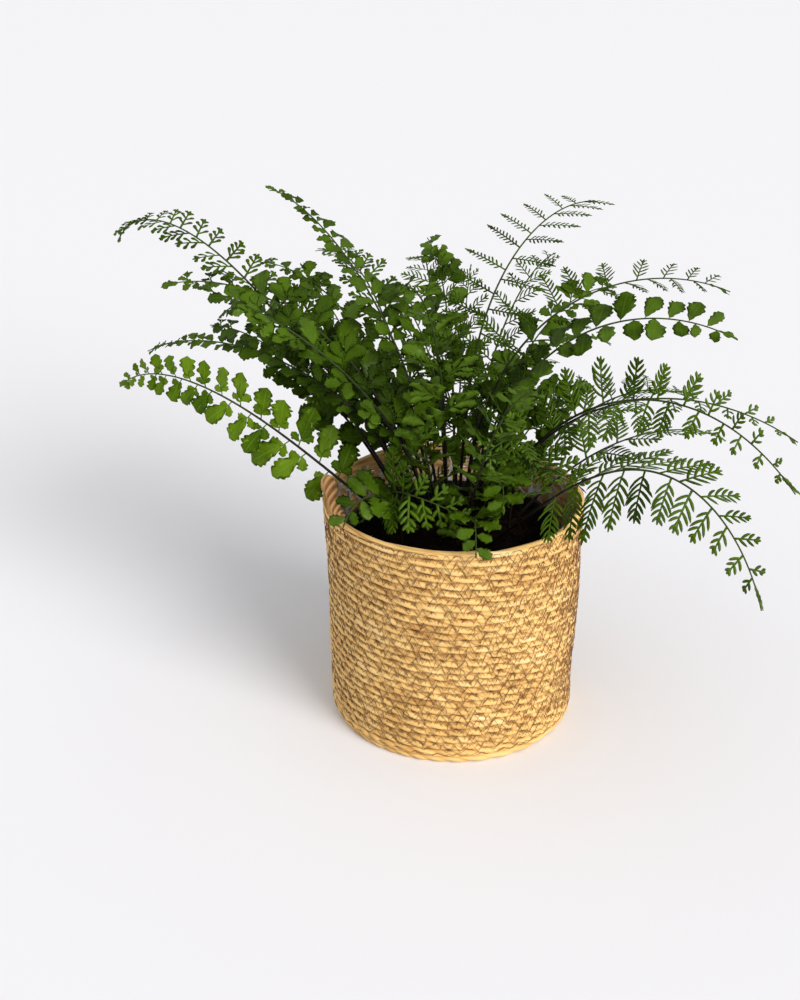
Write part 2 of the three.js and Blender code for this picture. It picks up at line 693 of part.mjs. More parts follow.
function clump(fixed) {
  const placed = [];
  const remember = (solid, owner) => placed.push({ solid, owner, box: solid.boundingBox() });
  const meets = (a, b) =>
    [0, 1, 2].every((k) => a.min[k] <= b.max[k] && b.min[k] <= a.max[k]);
  const clear = (solid, owner) => {
    const box = solid.boundingBox();
    return !placed.some(
      (p) =>
        p.owner !== owner && meets(p.box, box) && !p.solid.intersect(solid).isEmpty(),
    );
  };
  const gap = weld(new THREE.BoxGeometry(...FINGER_GAP.size).translate(...FINGER_GAP.centre));
  [...fixed, gap].forEach((g) => remember(solidOf(g), "fixed"));
  for (const f of FRONDS) remember(solidOf(frond(f, new Map())), f.name);
  const result = new Map();
  for (const f of FRONDS) {
    const leaves = new Map();
    stations(f).at.forEach((t, j) => {
      const out = j % 2 ? -1 : 1;
      const fits = (c) => clear(leafSolid(f, t, out, leaflet(f, j, t, c, SWELL)), f.name);
      const change = CHANGES.find(fits);
      if (!change) return;
      const leaf = leaflet(f, j, t, change);
      leaves.set(j, leaf);
      remember(leafSolid(f, t, out, leaf), "leaf of " + f.name);
    });
    result.set(f, frond(f, leaves));
  }
  return result;
}

// ---- the scene graph ----
const part = new THREE.Group();
const piece = (name, geometry, material) => {
  const mesh = new THREE.Mesh(geometry, material);
  mesh.name = name;
  part.add(mesh);
  return geometry;
};

const holder = [
  piece("basket", basket(), SEAGRASS),
  piece("handle", handle(), ROPE),
  piece("liner", liner(), CLEAR_FILM),
  piece("nursery_pot", nurseryPot(), BLACK_PLASTIC),
  piece("soil", soil(), SOIL),
  piece("crown", crown(), SCALES),
];

const plant = new THREE.Group();
part.add(plant);
clump(holder).forEach((geometry, f) => {
  const grown = f.kind === "broad" ? TOOTHED_LEAF : CUT_LEAF;
  const mesh = new THREE.Mesh(geometry, f.seed === YOUNG_FROND ? YOUNG_LEAF : grown);
  mesh.name = f.name;
  plant.add(mesh);
});

export default part;
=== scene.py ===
from collections import namedtuple

import bpy
import numpy as np
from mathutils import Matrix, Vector


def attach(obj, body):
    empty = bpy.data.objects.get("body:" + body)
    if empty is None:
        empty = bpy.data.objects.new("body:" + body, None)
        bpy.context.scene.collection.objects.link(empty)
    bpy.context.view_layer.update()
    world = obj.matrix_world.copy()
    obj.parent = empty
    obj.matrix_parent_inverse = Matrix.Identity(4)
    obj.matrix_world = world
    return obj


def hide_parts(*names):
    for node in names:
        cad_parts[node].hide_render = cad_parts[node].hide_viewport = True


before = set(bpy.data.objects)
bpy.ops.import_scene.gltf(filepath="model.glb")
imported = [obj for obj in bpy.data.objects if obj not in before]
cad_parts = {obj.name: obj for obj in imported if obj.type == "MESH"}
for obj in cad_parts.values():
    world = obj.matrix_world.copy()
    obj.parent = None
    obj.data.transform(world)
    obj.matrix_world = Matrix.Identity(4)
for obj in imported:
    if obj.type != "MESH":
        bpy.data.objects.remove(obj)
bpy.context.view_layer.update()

MM = 0.001

# ---- the basket and what stands in it, as the solids have them ----
BASKET_HEIGHT = 150
RIM_RADIUS = 83
FOOT_RADIUS = 79
WAIST_RADIUS = 78.8
WAIST_HEIGHT = 42
FOOT_ROUND = 4
HANDLE_AZIMUTH = 195
HANDLE_SPAN = 34  # degrees of rim from end to end
HANDLE_RISE = 12.5  # height of the rope's middle over its ends
HANDLE_LIFTED = 0.85  # share of the span that is lifted off the rim
HANDLE_RADIUS = 4.2
HANDLE_END_RADIUS = 3
POT_FLOOR = 8.2
POT_HEIGHT = 120
POT_RIM_RADIUS = 66
POT_BASE_RADIUS = 50
POT_WALL = 1.6
SOIL_TOP = 123
CROWN_RADIUS = 47
CROWN_RISE = 5
STALK_LEVEL = 126  # height at which each frond's azimuth and foot radius are given
STALK_DEPTH = 7  # length of stalk below that level

# ---- the fronds: kind, azimuth, foot radius, lean at the foot, lean at the tip, bend, sweep, length,
# half width, roll, spread of the first leaflets, cup: the leaflets' rise towards the upper face ----
FRONDS = [
    # the long ones, from the left round to the right
    ("forked", 165, 22, 35, 137, 2.51, -37, 345, 28, -12, 78, 13),
    ("broad", 144, 9, 10, 93, 1.42, -17, 280, 17, 15, 75, 14),
    ("broad", 176, 24, 2, 120, 0.84, -33, 256, 16, -10, 58, 14),
    ("bushy", 159, 15, 17, 110, 1.46, 1, 260, 25, -15, 70, 14),
    ("young", 180, 35, 50, 133, 2.46, -42, 237, 26, -75, 80, 16),
    ("fine", 85, 10, 4, 72, 1.5, 0, 178, 31, -20, 66, 20),
    ("feathery", 50, 5, 2, 104, 2.47, -12, 252, 50, -3, 94, 9),
    ("fine", -12, 7, 2, 109, 1.65, -3, 266, 42, -45, 85, 12),
    ("broad", -24, 16, 2, 112, 1.51, 1, 254, 27, 26, 91, 11),
    ("broad", 20, 14, 3, 132, 2.4, 0, 176, 12, 0, 58, 14),
    ("glossy", -30, 24, 12, 118, 1.05, -32, 291, 30, 60, 85, 23),
    ("glossy", -10, 26, 2, 114, 0.86, -22, 238, 26, 20, 78, 20),
    ("glossy", -49, 33, 45, 146, 2.51, -20, 292, 40, 29, 87, -20),
    # the front, over the near rim
    ("lush", 203, 34, 2, 136, 1.07, 181, 106, 30, 75, 74, 20),
    ("broad", 282, 41, 4, 150, 1.41, -12, 83, 22, 0, 74, 14),
    ("broad", 304, 30, 3, 150, 1.92, -36, 110, 26, 0, 74, 14),
    # the dense middle, the tall ones and then the short ones
    ("lush", 341, 36, 3, 132, 2.25, -130, 126, 34, -55, 74, 20),
    ("bushy", 137, 28, 28, 134, 1.72, 3, 250, 24, -30, 62, 14),
    ("bushy", 252, 14, 3, 86, 2.17, 4, 241, 24, 30, 62, 14),
    ("bushy", 152, 24, 29, 96, 1.22, -25, 228, 24, -28, 62, 14),
    ("bushy", 112, 14, 2, 109, 1.86, 10, 188, 24, -20, 62, 14),
    ("bushy", 280, 29, 32, 65, 2.26, 7, 220, 24, -27, 62, 14),
    ("bushy", 130, 33, 33, 65, 1.37, -3, 193, 24, -12, 62, 14),
    ("bushy", 41, 15, 14, 106, 2.25, -3, 198, 24, 25, 62, 14),
    ("bushy", 183, 15, 6, 78, 0.9, -18, 223, 24, -30, 62, 14),
    ("fine", 100, 23, 29, 127, 2.27, -5, 241, 31, -20, 66, 20),
    ("bushy", 118, 32, 35, 100, 1.73, 23, 242, 20, 4, 62, 14),
    ("forked", 112, 36, 36, 119, 2.3, 6, 253, 28, -4, 66, 20),
    ("bushy", 90, 29, 31, 87, 1.92, 14, 218, 24, -17, 62, 14),
    ("fine", 135, 21, 26, 72, 2.3, 2, 112, 31, -30, 66, 20),
    ("bushy", 150, 34, 34, 104, 1.3, -16, 215, 22, -30, 62, 14),
    ("bushy", 244, 21, 13, 65, 2.3, 15, 112, 24, 17, 62, 14),
    ("lush", 322, 15, 10, 112, 1.2, -12, 125, 28, 28, 70, 20),
    ("bushy", 18, 20, 15, 72, 1.41, 17, 115, 24, 30, 62, 14),
    ("broad", 220, 41, 5, 150, 1.6, 19, 85, 24, -25, 70, 14),
    ("fine", 62, 12, 12, 95, 1.8, 0, 210, 31, 0, 66, 20),
    # the back, low and wide
    ("fine", 42, 33, 48, 126, 1.4, -6, 205, 36, 0, 66, 20),
    ("bushy", 76, 38, 46, 128, 1.3, 0, 200, 26, 0, 62, 14),
    ("glossy", 14, 39, 42, 122, 1.4, 8, 165, 30, 0, 70, 20),
]


# ---- small mathematics ----
def mix(a, b, t):
    """a + (b - a) t."""
    return a + (b - a) * t


def unit(v):
    """Each vector divided by its length."""
    return v / np.maximum(np.linalg.norm(v, axis=-1, keepdims=True), 1e-12)


def polar(radius, degrees, z):
    """Points at a radius, an azimuth and a height."""
    a = np.radians(degrees)
    return np.stack(np.broadcast_arrays(radius * np.cos(a), radius * np.sin(a), z), -1).astype(float)


def spun(x, y, angle):
    """x and y turned about their origin by an angle."""
    return x * np.cos(angle) - y * np.sin(angle), x * np.sin(angle) + y * np.cos(angle)


def drift(at, cell, seed):
    """Smooth random values between -1 and 1: random knots every `cell`, joined by 3x^2 - 2x^3."""
    x = at / cell - np.min(at / cell)
    knots = np.random.default_rng(seed).uniform(-1, 1, int(x.max()) + 3)
    i = x.astype(int)
    x = x - i
    return mix(knots[i], knots[i + 1], x * x * (3 - 2 * x))


def running(path):
    """Length along a path of points, from its start."""
    return np.concatenate([[0], np.cumsum(np.linalg.norm(np.diff(path, axis=0), axis=1))])


# ---- meshes ----
def ring_faces(count, rings, corners):
    """Faces of `count` equal bars, each `rings` rings of `corners` points: quads between the rings, and one
    flat end at each end."""
    i, j = np.meshgrid(np.arange(rings - 1), np.arange(corners), indexing="ij")
    here = i * corners + j
    beside = i * corners + (j + 1) % corners
    sides = np.stack([here, beside, beside + corners, here + corners], -1).reshape(-1, 4)
    last = np.arange(corners) + (rings - 1) * corners
    ends = np.stack([np.arange(corners)[::-1], last])
    starts = (np.arange(count) * rings * corners)[:, None, None]
    return [(sides + starts).reshape(-1, 4), (ends + starts).reshape(-1, corners)]


def square_to(path):
    """Two directions square to a path of points: a level one, and one square to both."""
    ahead = unit(np.gradient(path, axis=0))
    first = unit(np.cross([0, 0, 1.0], ahead))
    return first, np.cross(ahead, first)


def rings(path, radius, angles, first, second):
    """Rings round a path: path + radius (cos a first + sin a second)."""
    out = np.cos(angles)[..., None] * first[:, None] + np.sin(angles)[..., None] * second[:, None]
    return path[:, None] + np.asarray(radius)[..., None] * out


def flat_bar(path, wide, high):
    """Rings of four corners, beside, above, beside and below each point of a path."""
    return np.stack([path + wide, path + high, path - wide, path - high], -2)


class Draft:
    """The points, faces and point values of one piece, gathered patch by patch."""

    def __init__(self):
        self.points, self.faces, self.kinds, self.marks, self.count = [], [], [], [], 0

    def add(self, points, faces, mark, kind=0):
        """Adds a patch. `mark` gives each point its (along, across, tone), and kind is its material."""
        points = np.asarray(points, float)
        mark = np.broadcast_to(np.asarray(mark, float), points.shape)
        for f in faces:
            self.faces.append(f + self.count)
            self.kinds.append(np.full(len(f), kind))
        self.points.append(points.reshape(-1, 3))
        self.marks.append(mark.reshape(-1, 3))
        self.count += self.points[-1].shape[0]

    def piece(self, name, nodes, slot, *materials):
        """Makes the mesh, in metres, and lets it ride on the part in place of the named solids."""
        mesh = bpy.data.meshes.new(name)
        sizes = np.concatenate([np.full(len(f), f.shape[1]) for f in self.faces])
        corners = np.concatenate([f.ravel() for f in self.faces])
        mesh.vertices.add(self.count)
        mesh.vertices.foreach_set("co", (np.concatenate(self.points) * MM).astype(np.float32).ravel())
        mesh.loops.add(len(corners))
        mesh.loops.foreach_set("vertex_index", corners.astype(np.int32))
        mesh.polygons.add(len(sizes))
        mesh.polygons.foreach_set("loop_start", (np.cumsum(sizes) - sizes).astype(np.int32))
        mesh.polygons.foreach_set("use_smooth", np.ones(len(sizes), bool))
        mark = mesh.attributes.new("mark", "FLOAT_VECTOR", "POINT")
        mark.data.foreach_set("vector", np.concatenate(self.marks).astype(np.float32).ravel())
        for material in materials:
            mesh.materials.append(material)
        mesh.polygons.foreach_set("material_index", np.concatenate(self.kinds).astype(np.int32))
        mesh.update(calc_edges=True)
        made = bpy.data.objects.new(name, mesh)
        bpy.context.scene.collection.objects.link(made)
        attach(made, "root")
        if nodes:
            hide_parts(*nodes)


def marks(along, across, tone):
    """(along, across, tone) for each point, from arrays that broadcast."""
    return np.stack(np.broadcast_arrays(along, across, tone), -1)


# ---- materials ----
def node(tree, kind, inputs=None, **settings):
    """A node; inputs maps a socket to its value, or to the socket that feeds it."""
    made = tree.nodes.new(kind)
    for name, value in settings.items():
        setattr(made, name, value)
    for socket, value in (inputs or {}).items():
        if isinstance(value, bpy.types.NodeSocket):
            tree.links.new(value, made.inputs[socket])
        else:
            made.inputs[socket].default_value = value
    return made


def reckon(tree, operation, a, b=0.5):
    """One operation on numbers."""
    return node(tree, "ShaderNodeMath", {0: a, 1: b}, operation=operation).outputs[0]


def times(tree, a, b):
    """a b."""
    return reckon(tree, "MULTIPLY", a, b)


def spread(tree, value, low, high, to_low=0.0, to_high=1.0):
    """value between low and high, spread over to_low to_high, with soft ends."""
    inputs = {0: value, 1: low, 2: high, 3: to_low, 4: to_high}
    return node(tree, "ShaderNodeMapRange", inputs, interpolation_type="SMOOTHSTEP").outputs[0]


def tint(tree, share, first, second):
    """Two colours, each (r, g, b) or the socket that gives it, mixed by share."""
    first, second = ((*c, 1) if isinstance(c, tuple) else c for c in (first, second))
    return node(tree, "ShaderNodeMix", {0: share, 6: first, 7: second}, data_type="RGBA").outputs[2]


def group(name, inputs, outputs):
    """An empty shader node group, with (name, kind) sockets; returns its tree, inputs and outputs."""
    tree = bpy.data.node_groups.new(name, "ShaderNodeTree")
    for way, sockets in (("INPUT", inputs), ("OUTPUT", outputs)):
        for label, kind in sockets:
            tree.interface.new_socket(label, in_out=way, socket_type="NodeSocket" + kind)
    return tree, tree.nodes.new("NodeGroupInput").outputs, tree.nodes.new("NodeGroupOutput").inputs


def placed(tree, shared, **inputs):
    """A shared node group put into a tree with its inputs; returns its outputs."""
    return node(tree, "ShaderNodeGroup", inputs, node_tree=shared).outputs


def mottle_group():
    """Mottle: two noises on object coordinates, coarse and fine, each a value between 0 and 1."""
    tree, given, out = group(
        "mottle", [("Coarse", "Float"), ("Fine", "Float")], [("Coarse", "Float"), ("Fine", "Float")]
    )
    place = node(tree, "ShaderNodeTexCoord").outputs["Object"]
    for label in ("Coarse", "Fine"):
        noise = node(tree, "ShaderNodeTexNoise", {"Vector": place, "Scale": given[label], "Detail": 3.0})
        tree.links.new(spread(tree, noise.outputs[0], 0.3, 0.7), out[label])
    return tree


def fibre_group():
    """Fibres of a twisted strand: noise on the mark (along, across, tone), drawn out along the strand."""
    tree, given, out = group(
        "fibre", [("Mark", "Vector"), ("Fineness", "Float")], [("Streak", "Float"), ("Height", "Float")]
    )
    stretch = node(tree, "ShaderNodeCombineXYZ", {0: 0.05, 1: given["Fineness"], 2: 1.7}).outputs[0]
    drawn = node(tree, "ShaderNodeVectorMath", {0: given["Mark"], 1: stretch}, operation="MULTIPLY")
    noise = node(tree, "ShaderNodeTexNoise", {"Vector": drawn.outputs[0], "Scale": 1.0, "Detail": 4.0})
    tree.links.new(spread(tree, noise.outputs[0], 0.32, 0.68), out["Streak"])
    tree.links.new(noise.outputs[0], out["Height"])
    return tree


def vein_group():
    """Veins of a leaflet: a midrib where across is near 0, and side veins where
    along x count - |across| x slant is near a whole number."""
    tree, given, out = group(
        "veins",
        [("Mark", "Vector"), ("Count", "Float"), ("Slant", "Float")],
        [("Vein", "Float"), ("Height", "Float")],
    )
    along, across, _ = node(tree, "ShaderNodeSeparateXYZ", {0: given["Mark"]}).outputs
    off = reckon(tree, "ABSOLUTE", across)
    line = times(tree, along, given["Count"])
    line = reckon(tree, "SUBTRACT", line, times(tree, off, given["Slant"]))
    line = reckon(tree, "PINGPONG", line, 0.5)
    side = spread(tree, line, 0.0, 0.16, 1.0, 0.0)
    rib = spread(tree, off, 0.02, 0.11, 1.0, 0.0)
    side = times(tree, side, spread(tree, off, 0.7, 1.0, 1.0, 0.0))
    tree.links.new(reckon(tree, "MAXIMUM", times(tree, side, 0.5), rib), out["Vein"])
    tree.links.new(reckon(tree, "ADD", times(tree, side, -0.5), rib), out["Height"])
    return tree


MOTTLE = mottle_group()
FIBRE = fibre_group()
VEINS = vein_group()


def finish(name, **sockets):
    """A material: its node tree and its shader, with the constant values set on the shader's sockets."""
    material = bpy.data.materials.new(name)
    material.use_nodes = True
    tree = material.node_tree
    tree.nodes.clear()
    shader = node(tree, "ShaderNodeBsdfPrincipled")
    for socket, value in sockets.items():
        shader.inputs[socket.replace("_", " ")].default_value = value
    tree.links.new(shader.outputs[0], node(tree, "ShaderNodeOutputMaterial").inputs[0])
    return material, tree, shader.inputs


def mark_of(tree):
    """The piece's own mark, and its three numbers."""
    mark = node(tree, "ShaderNodeAttribute", attribute_name="mark").outputs["Vector"]
    return mark, *node(tree, "ShaderNodeSeparateXYZ", {0: mark}).outputs


def vary(tree, shader, **sockets):
    """Joins what varies to the shader's sockets."""
    for socket, value in sockets.items():
        tree.links.new(value, shader[socket.replace("_", " ")])


def bump(tree, shader, height, strength, depth):
    """A bump of that depth in millimetres on the shader's normal."""
    made = node(tree, "ShaderNodeBump", {"Strength": strength, "Distance": depth * MM, "Height": height})
    tree.links.new(made.outputs[0], shader["Normal"])


def straw(name, dark, middle, pale, fineness, roughness):
    """Dried plant fibre: three shades by the tone of each strand, streaked along it and blotched. On the
    seagrass and the rope the tone also holds painted shade between the strands, and on the rope painted light
    on them.
    """
    material, tree, shader = finish(name, Specular_IOR_Level=0.35, Sheen_Weight=0.1)
    mark, _, _, tone = mark_of(tree)
    fibre = placed(tree, FIBRE, Mark=mark, Fineness=fineness)
    spots = placed(tree, MOTTLE, Coarse=28.0, Fine=420.0)
    level = reckon(tree, "ADD", tone, times(tree, fibre["Streak"], 0.2))
    level = reckon(tree, "ADD", level, times(tree, spots["Coarse"], 0.22))
    colour = tint(tree, spread(tree, level, 0.17, 0.87), dark, middle)
    colour = tint(tree, spread(tree, level, 0.87, 1.4), colour, pale)
    colour = tint(tree, times(tree, spots["Fine"], 0.08), colour, dark)
    rough = spread(tree, fibre["Streak"], 0.0, 1.0, roughness + 0.1, roughness - 0.1)
    vary(tree, shader, Base_Color=colour, Roughness=rough)
    bump(tree, shader, fibre["Height"], 0.6, 0.25)
    return material


def blade(name, deep, fresh, under, count, slant, vein_share, roughness, gloss):
    """A leaflet's skin: fresh or deep green by its tone, paler along its veins and below, and glossy on the
    upper face of the fresher ones. across is 3 or more on the lower face."""
    material, tree, shader = finish(name, Specular_IOR_Level=0.05, Coat_Roughness=0.3)
    _, along, across, tone = mark_of(tree)
    below = spread(tree, across, 1.6, 1.9)
    flat = reckon(tree, "SUBTRACT", across, times(tree, below, 3.0))
    here = node(tree, "ShaderNodeCombineXYZ", {0: along, 1: flat, 2: tone}).outputs[0]
    veins = placed(tree, VEINS, Mark=here, Count=count, Slant=slant)
    spots = placed(tree, MOTTLE, Coarse=35.0, Fine=600.0)
    level = reckon(tree, "ADD", tone, spread(tree, spots["Coarse"], 0.0, 1.0, -0.25, 0.25))
    colour = tint(tree, spread(tree, level, 0.0, 1.0), deep, fresh)
    colour = tint(tree, times(tree, veins["Vein"], vein_share), colour, under)
    colour = tint(tree, times(tree, below, 0.75), colour, under)
    rough = spread(tree, spots["Fine"], 0.0, 1.0, roughness - 0.05, roughness + 0.08)
    rough = reckon(tree, "ADD", rough, times(tree, below, 0.22))
    coat = spread(tree, tone, 0.35, 0.85, 0.0, gloss)
    coat = times(tree, coat, spread(tree, below, 0.0, 1.0, 1.0, 0.0))
    vary(tree, shader, Base_Color=colour, Roughness=rough, Coat_Weight=coat)
    height = reckon(tree, "ADD", veins["Height"], times(tree, spots["Fine"], 0.25))
    bump(tree, shader, height, 0.6, 0.25)
    return material


def stalk_finish(name, foot, tip, turn):
    """A stalk: dark at its foot and green past the share `turn` of its length, with fine streaks."""
    material, tree, shader = finish(name, Specular_IOR_Level=0.2)
    _, along, _, _ = mark_of(tree)
    spots = placed(tree, MOTTLE, Coarse=90.0, Fine=900.0)
    share = reckon(tree, "ADD", along, spread(tree, spots["Coarse"], 0.0, 1.0, -0.06, 0.06))
    colour = tint(tree, spread(tree, share, turn - 0.16, turn + 0.22), foot, tip)
    colour = tint(tree, times(tree, spots["Fine"], 0.3), colour, foot)
    rough = spread(tree, spots["Fine"], 0.0, 1.0, 0.35, 0.55)
    vary(tree, shader, Base_Color=colour, Roughness=rough)
    bump(tree, shader, spots["Fine"], 0.4, 0.15)
    return material


def earthy(name, dark, light, coarse, fine, depth):
    """Soil, scales and grains: two shades by the tone of each point and by noise, with a rough bump."""
    material, tree, shader = finish(name, Specular_IOR_Level=0.05)
    _, _, _, tone = mark_of(tree)
    spots = placed(tree, MOTTLE, Coarse=coarse, Fine=fine)
    level = reckon(tree, "ADD", times(tree, spots["Coarse"], 0.4), tone)
    colour = tint(tree, spread(tree, level, 0.1, 1.2), dark, light)
    rough = spread(tree, spots["Fine"], 0.0, 1.0, 0.8, 0.95)
    vary(tree, shader, Base_Color=colour, Roughness=rough)
    bump(tree, shader, spots["Fine"], 0.8, depth)
    return material


def film_finish():
    """Clear film: thin and glossy, with painted highlights: whiter and less clear where it is creased, which
    the tone of each point says, and fine white lines at the borders of bent Voronoi cells."""
    material, tree, shader = finish("clear_film", Roughness=0.12, Specular_IOR_Level=0.8, IOR=1.5)
    _, _, _, tone = mark_of(tree)
    spots = placed(tree, MOTTLE, Coarse=60.0, Fine=380.0)
    place = node(tree, "ShaderNodeTexCoord").outputs["Object"]
    noise = node(tree, "ShaderNodeTexNoise", {"Vector": place, "Scale": 90.0}).outputs["Color"]
    inputs = {0: noise, 1: (0.012, 0.012, 0.012), 2: place}
    bent = node(tree, "ShaderNodeVectorMath", inputs, operation="MULTIPLY_ADD").outputs[0]
    inputs = {"Vector": bent, "Scale": 75.0}
    edge = node(tree, "ShaderNodeTexVoronoi", inputs, feature="DISTANCE_TO_EDGE").outputs["Distance"]
    # painted highlight: fine white lines at the Voronoi cell borders and a whitening of the creases, made
    # less clear too, stand in for glints on the crinkled film
    line = spread(tree, edge, 0.0, 0.1, 1.0, 0.0)
    crease = reckon(tree, "ADD", tone, times(tree, spots["Coarse"], 0.25))
    painted_glint = reckon(tree, "MAXIMUM", spread(tree, crease, 0.55, 1.1), line)
    colour = tint(tree, painted_glint, (0.55, 0.57, 0.57), (0.9, 0.92, 0.94))
    vary(tree, shader, Base_Color=colour, Alpha=spread(tree, painted_glint, 0.0, 1.0, 0.05, 0.8))
    bump(tree, shader, spots["Coarse"], 0.5, 1.2)
    return material


def moulded_finish():
    """Black moulded plastic with a faint grain and dust."""
    material, tree, shader = finish("moulded_plastic", Specular_IOR_Level=0.2)
    spots = placed(tree, MOTTLE, Coarse=40.0, Fine=1200.0)
    colour = tint(tree, spots["Coarse"], (0.004, 0.004, 0.004), (0.012, 0.011, 0.01))
    rough = spread(tree, spots["Coarse"], 0.0, 1.0, 0.4, 0.6)
    vary(tree, shader, Base_Color=colour, Roughness=rough)
    bump(tree, shader, spots["Fine"], 0.3, 0.08)
    return material


SEAGRASS = straw("seagrass", (0.5, 0.24, 0.055), (0.87, 0.56, 0.19), (0.96, 0.78, 0.44), 7.0, 0.62)
ROPE = straw("rope", (0.28, 0.12, 0.035), (0.62, 0.34, 0.12), (0.82, 0.55, 0.26), 9.0, 0.62)
THREAD = straw("thread", (0.1, 0.04, 0.01), (0.22, 0.1, 0.026), (0.4, 0.2, 0.06), 3.0, 0.6)
CLEAR_FILM = film_finish()
PLASTIC = moulded_finish()
# painted shade: the soil's own dark brown, darkened further to near black to stand in for the shade inside
# the basket
EARTH_DARKENED_AS_SHADE = earthy("potting_soil", (0.0015, 0.001, 0.0008), (0.008, 0.005, 0.003), 120.0, 500.0, 0.8)
# painted shade: the scales' own dark brown, darkened further to stand in for the shade inside the basket; the
# stalks' scales wear it too
SCALES_DARKENED_AS_SHADE = earthy("papery_scales", (0.003, 0.0015, 0.001), (0.02, 0.01, 0.005), 150.0, 700.0, 0.2)
DEEP = (0.018, 0.038, 0.001)
FRESH = (0.062, 0.122, 0.002)
PALE = (0.085, 0.155, 0.014)
GLOSSY_DEEP = (0.024, 0.052, 0.001)
GLOSSY_FRESH = (0.075, 0.145, 0.003)
# young leaflets: their own fresh yellow-green, made brighter as painted light shining through them
YOUNG_DEEP_LIT_THROUGH = (0.04, 0.085, 0.001)
YOUNG_FRESH_LIT_THROUGH = (0.115, 0.205, 0.003)
YOUNG_PALE_LIT_THROUGH = (0.17, 0.3, 0.03)
NO_VEINS = {"count": 1.0, "slant": 0.0}  # a cut leaflet has its rib alone
FINE_BLADE = blade("cut_leaf", DEEP, FRESH, PALE, **NO_VEINS, vein_share=0.2, roughness=0.6, gloss=0.15)
GLOSSY_BLADE = blade(
    "glossy_cut_leaf", GLOSSY_DEEP, GLOSSY_FRESH, PALE, **NO_VEINS, vein_share=0.25, roughness=0.45, gloss=0.4
)
BROAD_BLADE = blade(
    "toothed_leaf", DEEP, FRESH, PALE, count=6.0, slant=0.8, vein_share=0.3, roughness=0.55, gloss=0.25
)
YOUNG_BLADE = blade(
    "young_leaf", YOUNG_DEEP_LIT_THROUGH, YOUNG_FRESH_LIT_THROUGH, YOUNG_PALE_LIT_THROUGH,
    count=7.0, slant=1.0, vein_share=0.3, roughness=0.5, gloss=0.2,
)
STALK = stalk_finish("stalk", (0.007, 0.005, 0.003), (0.04, 0.072, 0.01), 0.45)
YOUNG_STALK = stalk_finish("young_stalk", (0.01, 0.008, 0.004), (0.05, 0.09, 0.008), 0.5)


# ---- the coiled basket ----
ROW = 5.0  # height of a row of the coil
HALF_HEIGHT = 2.78  # of the cord, which is pressed a little between its neighbours
HALF_DEPTH = 2.5
LAY = 25  # length in which a cord's two strands turn once round each other
STEP = 1.35  # between two rings of the cord
CORD_STRANDS = (2, 0.27)  # how many, and their offset from the cord's middle over its radius
CORD_CORNERS = 12
COIL_AZIMUTH = 235  # from which its turns are counted
FIRST_TURN = 0.6  # where it begins, near the middle of the base
COIL_END = BASKET_HEIGHT + ROW / 2 - 0.3  # height of its course at its very end


def coil_line():
    """The cord's course. Its middle follows the basket's profile, out over the base, round the edge and up
    the wall, one row for each turn. Returns the length along it, azimuth, radius, height and the two
    directions of its section: ahead along the profile, and out."""
    edge = np.radians(np.linspace(-90, 0, 12))
    bend = FOOT_ROUND - HALF_DEPTH
    wall = np.array([WAIST_RADIUS, RIM_RADIUS]) - HALF_DEPTH
    radius = np.concatenate([[0], FOOT_RADIUS - FOOT_ROUND + bend * np.cos(edge), wall])
    height = np.concatenate([[HALF_DEPTH], FOOT_ROUND + bend * np.sin(edge), [WAIST_HEIGHT, COIL_END]])
    outline = np.stack([radius, height], -1)
    travelled = running(outline)
    turns = np.linspace(FIRST_TURN, travelled[-1] / ROW, 60000)
    course = polar(np.interp(turns * ROW, travelled, radius), 360 * turns + COIL_AZIMUTH, 0 * turns)
    length = running(course)
    even = np.arange(0, length[-1], STEP)
    turns = np.interp(even, length, turns)
    slope = np.diff(outline, axis=0) / np.diff(travelled)[:, None]
    middle = (travelled[1:] + travelled[:-1]) / 2
    ahead = unit(np.stack([np.interp(turns * ROW, middle, slope[:, k]) for k in (0, 1)], -1))
    azimuth = 360 * turns + COIL_AZIMUTH
    level = polar(1, azimuth, 0)
    up = np.array([0, 0, 1])
    first = ahead[:, :1] * level + ahead[:, 1:] * up
    second = ahead[:, 1:] * level - ahead[:, :1] * up
    r = np.interp(turns * ROW, travelled, radius)
    z = np.interp(turns * ROW, travelled, height)
    return even, azimuth, r, z, first, second


def strands(angles, count, offset):
    """Radius of a cord of `count` round strands, at an angle counted from a strand: the furthest of the
    circles of radius s = 1 - offset whose centres lie at offset, so
    offset cos a + sqrt(s^2 - offset^2 sin^2 a)."""
    size = 1 - offset
    a = (angles + np.pi / count) % (2 * np.pi / count) - np.pi / count
    return offset * np.cos(a) + np.sqrt(np.maximum(size**2 - (offset * np.sin(a)) ** 2, 0.01))


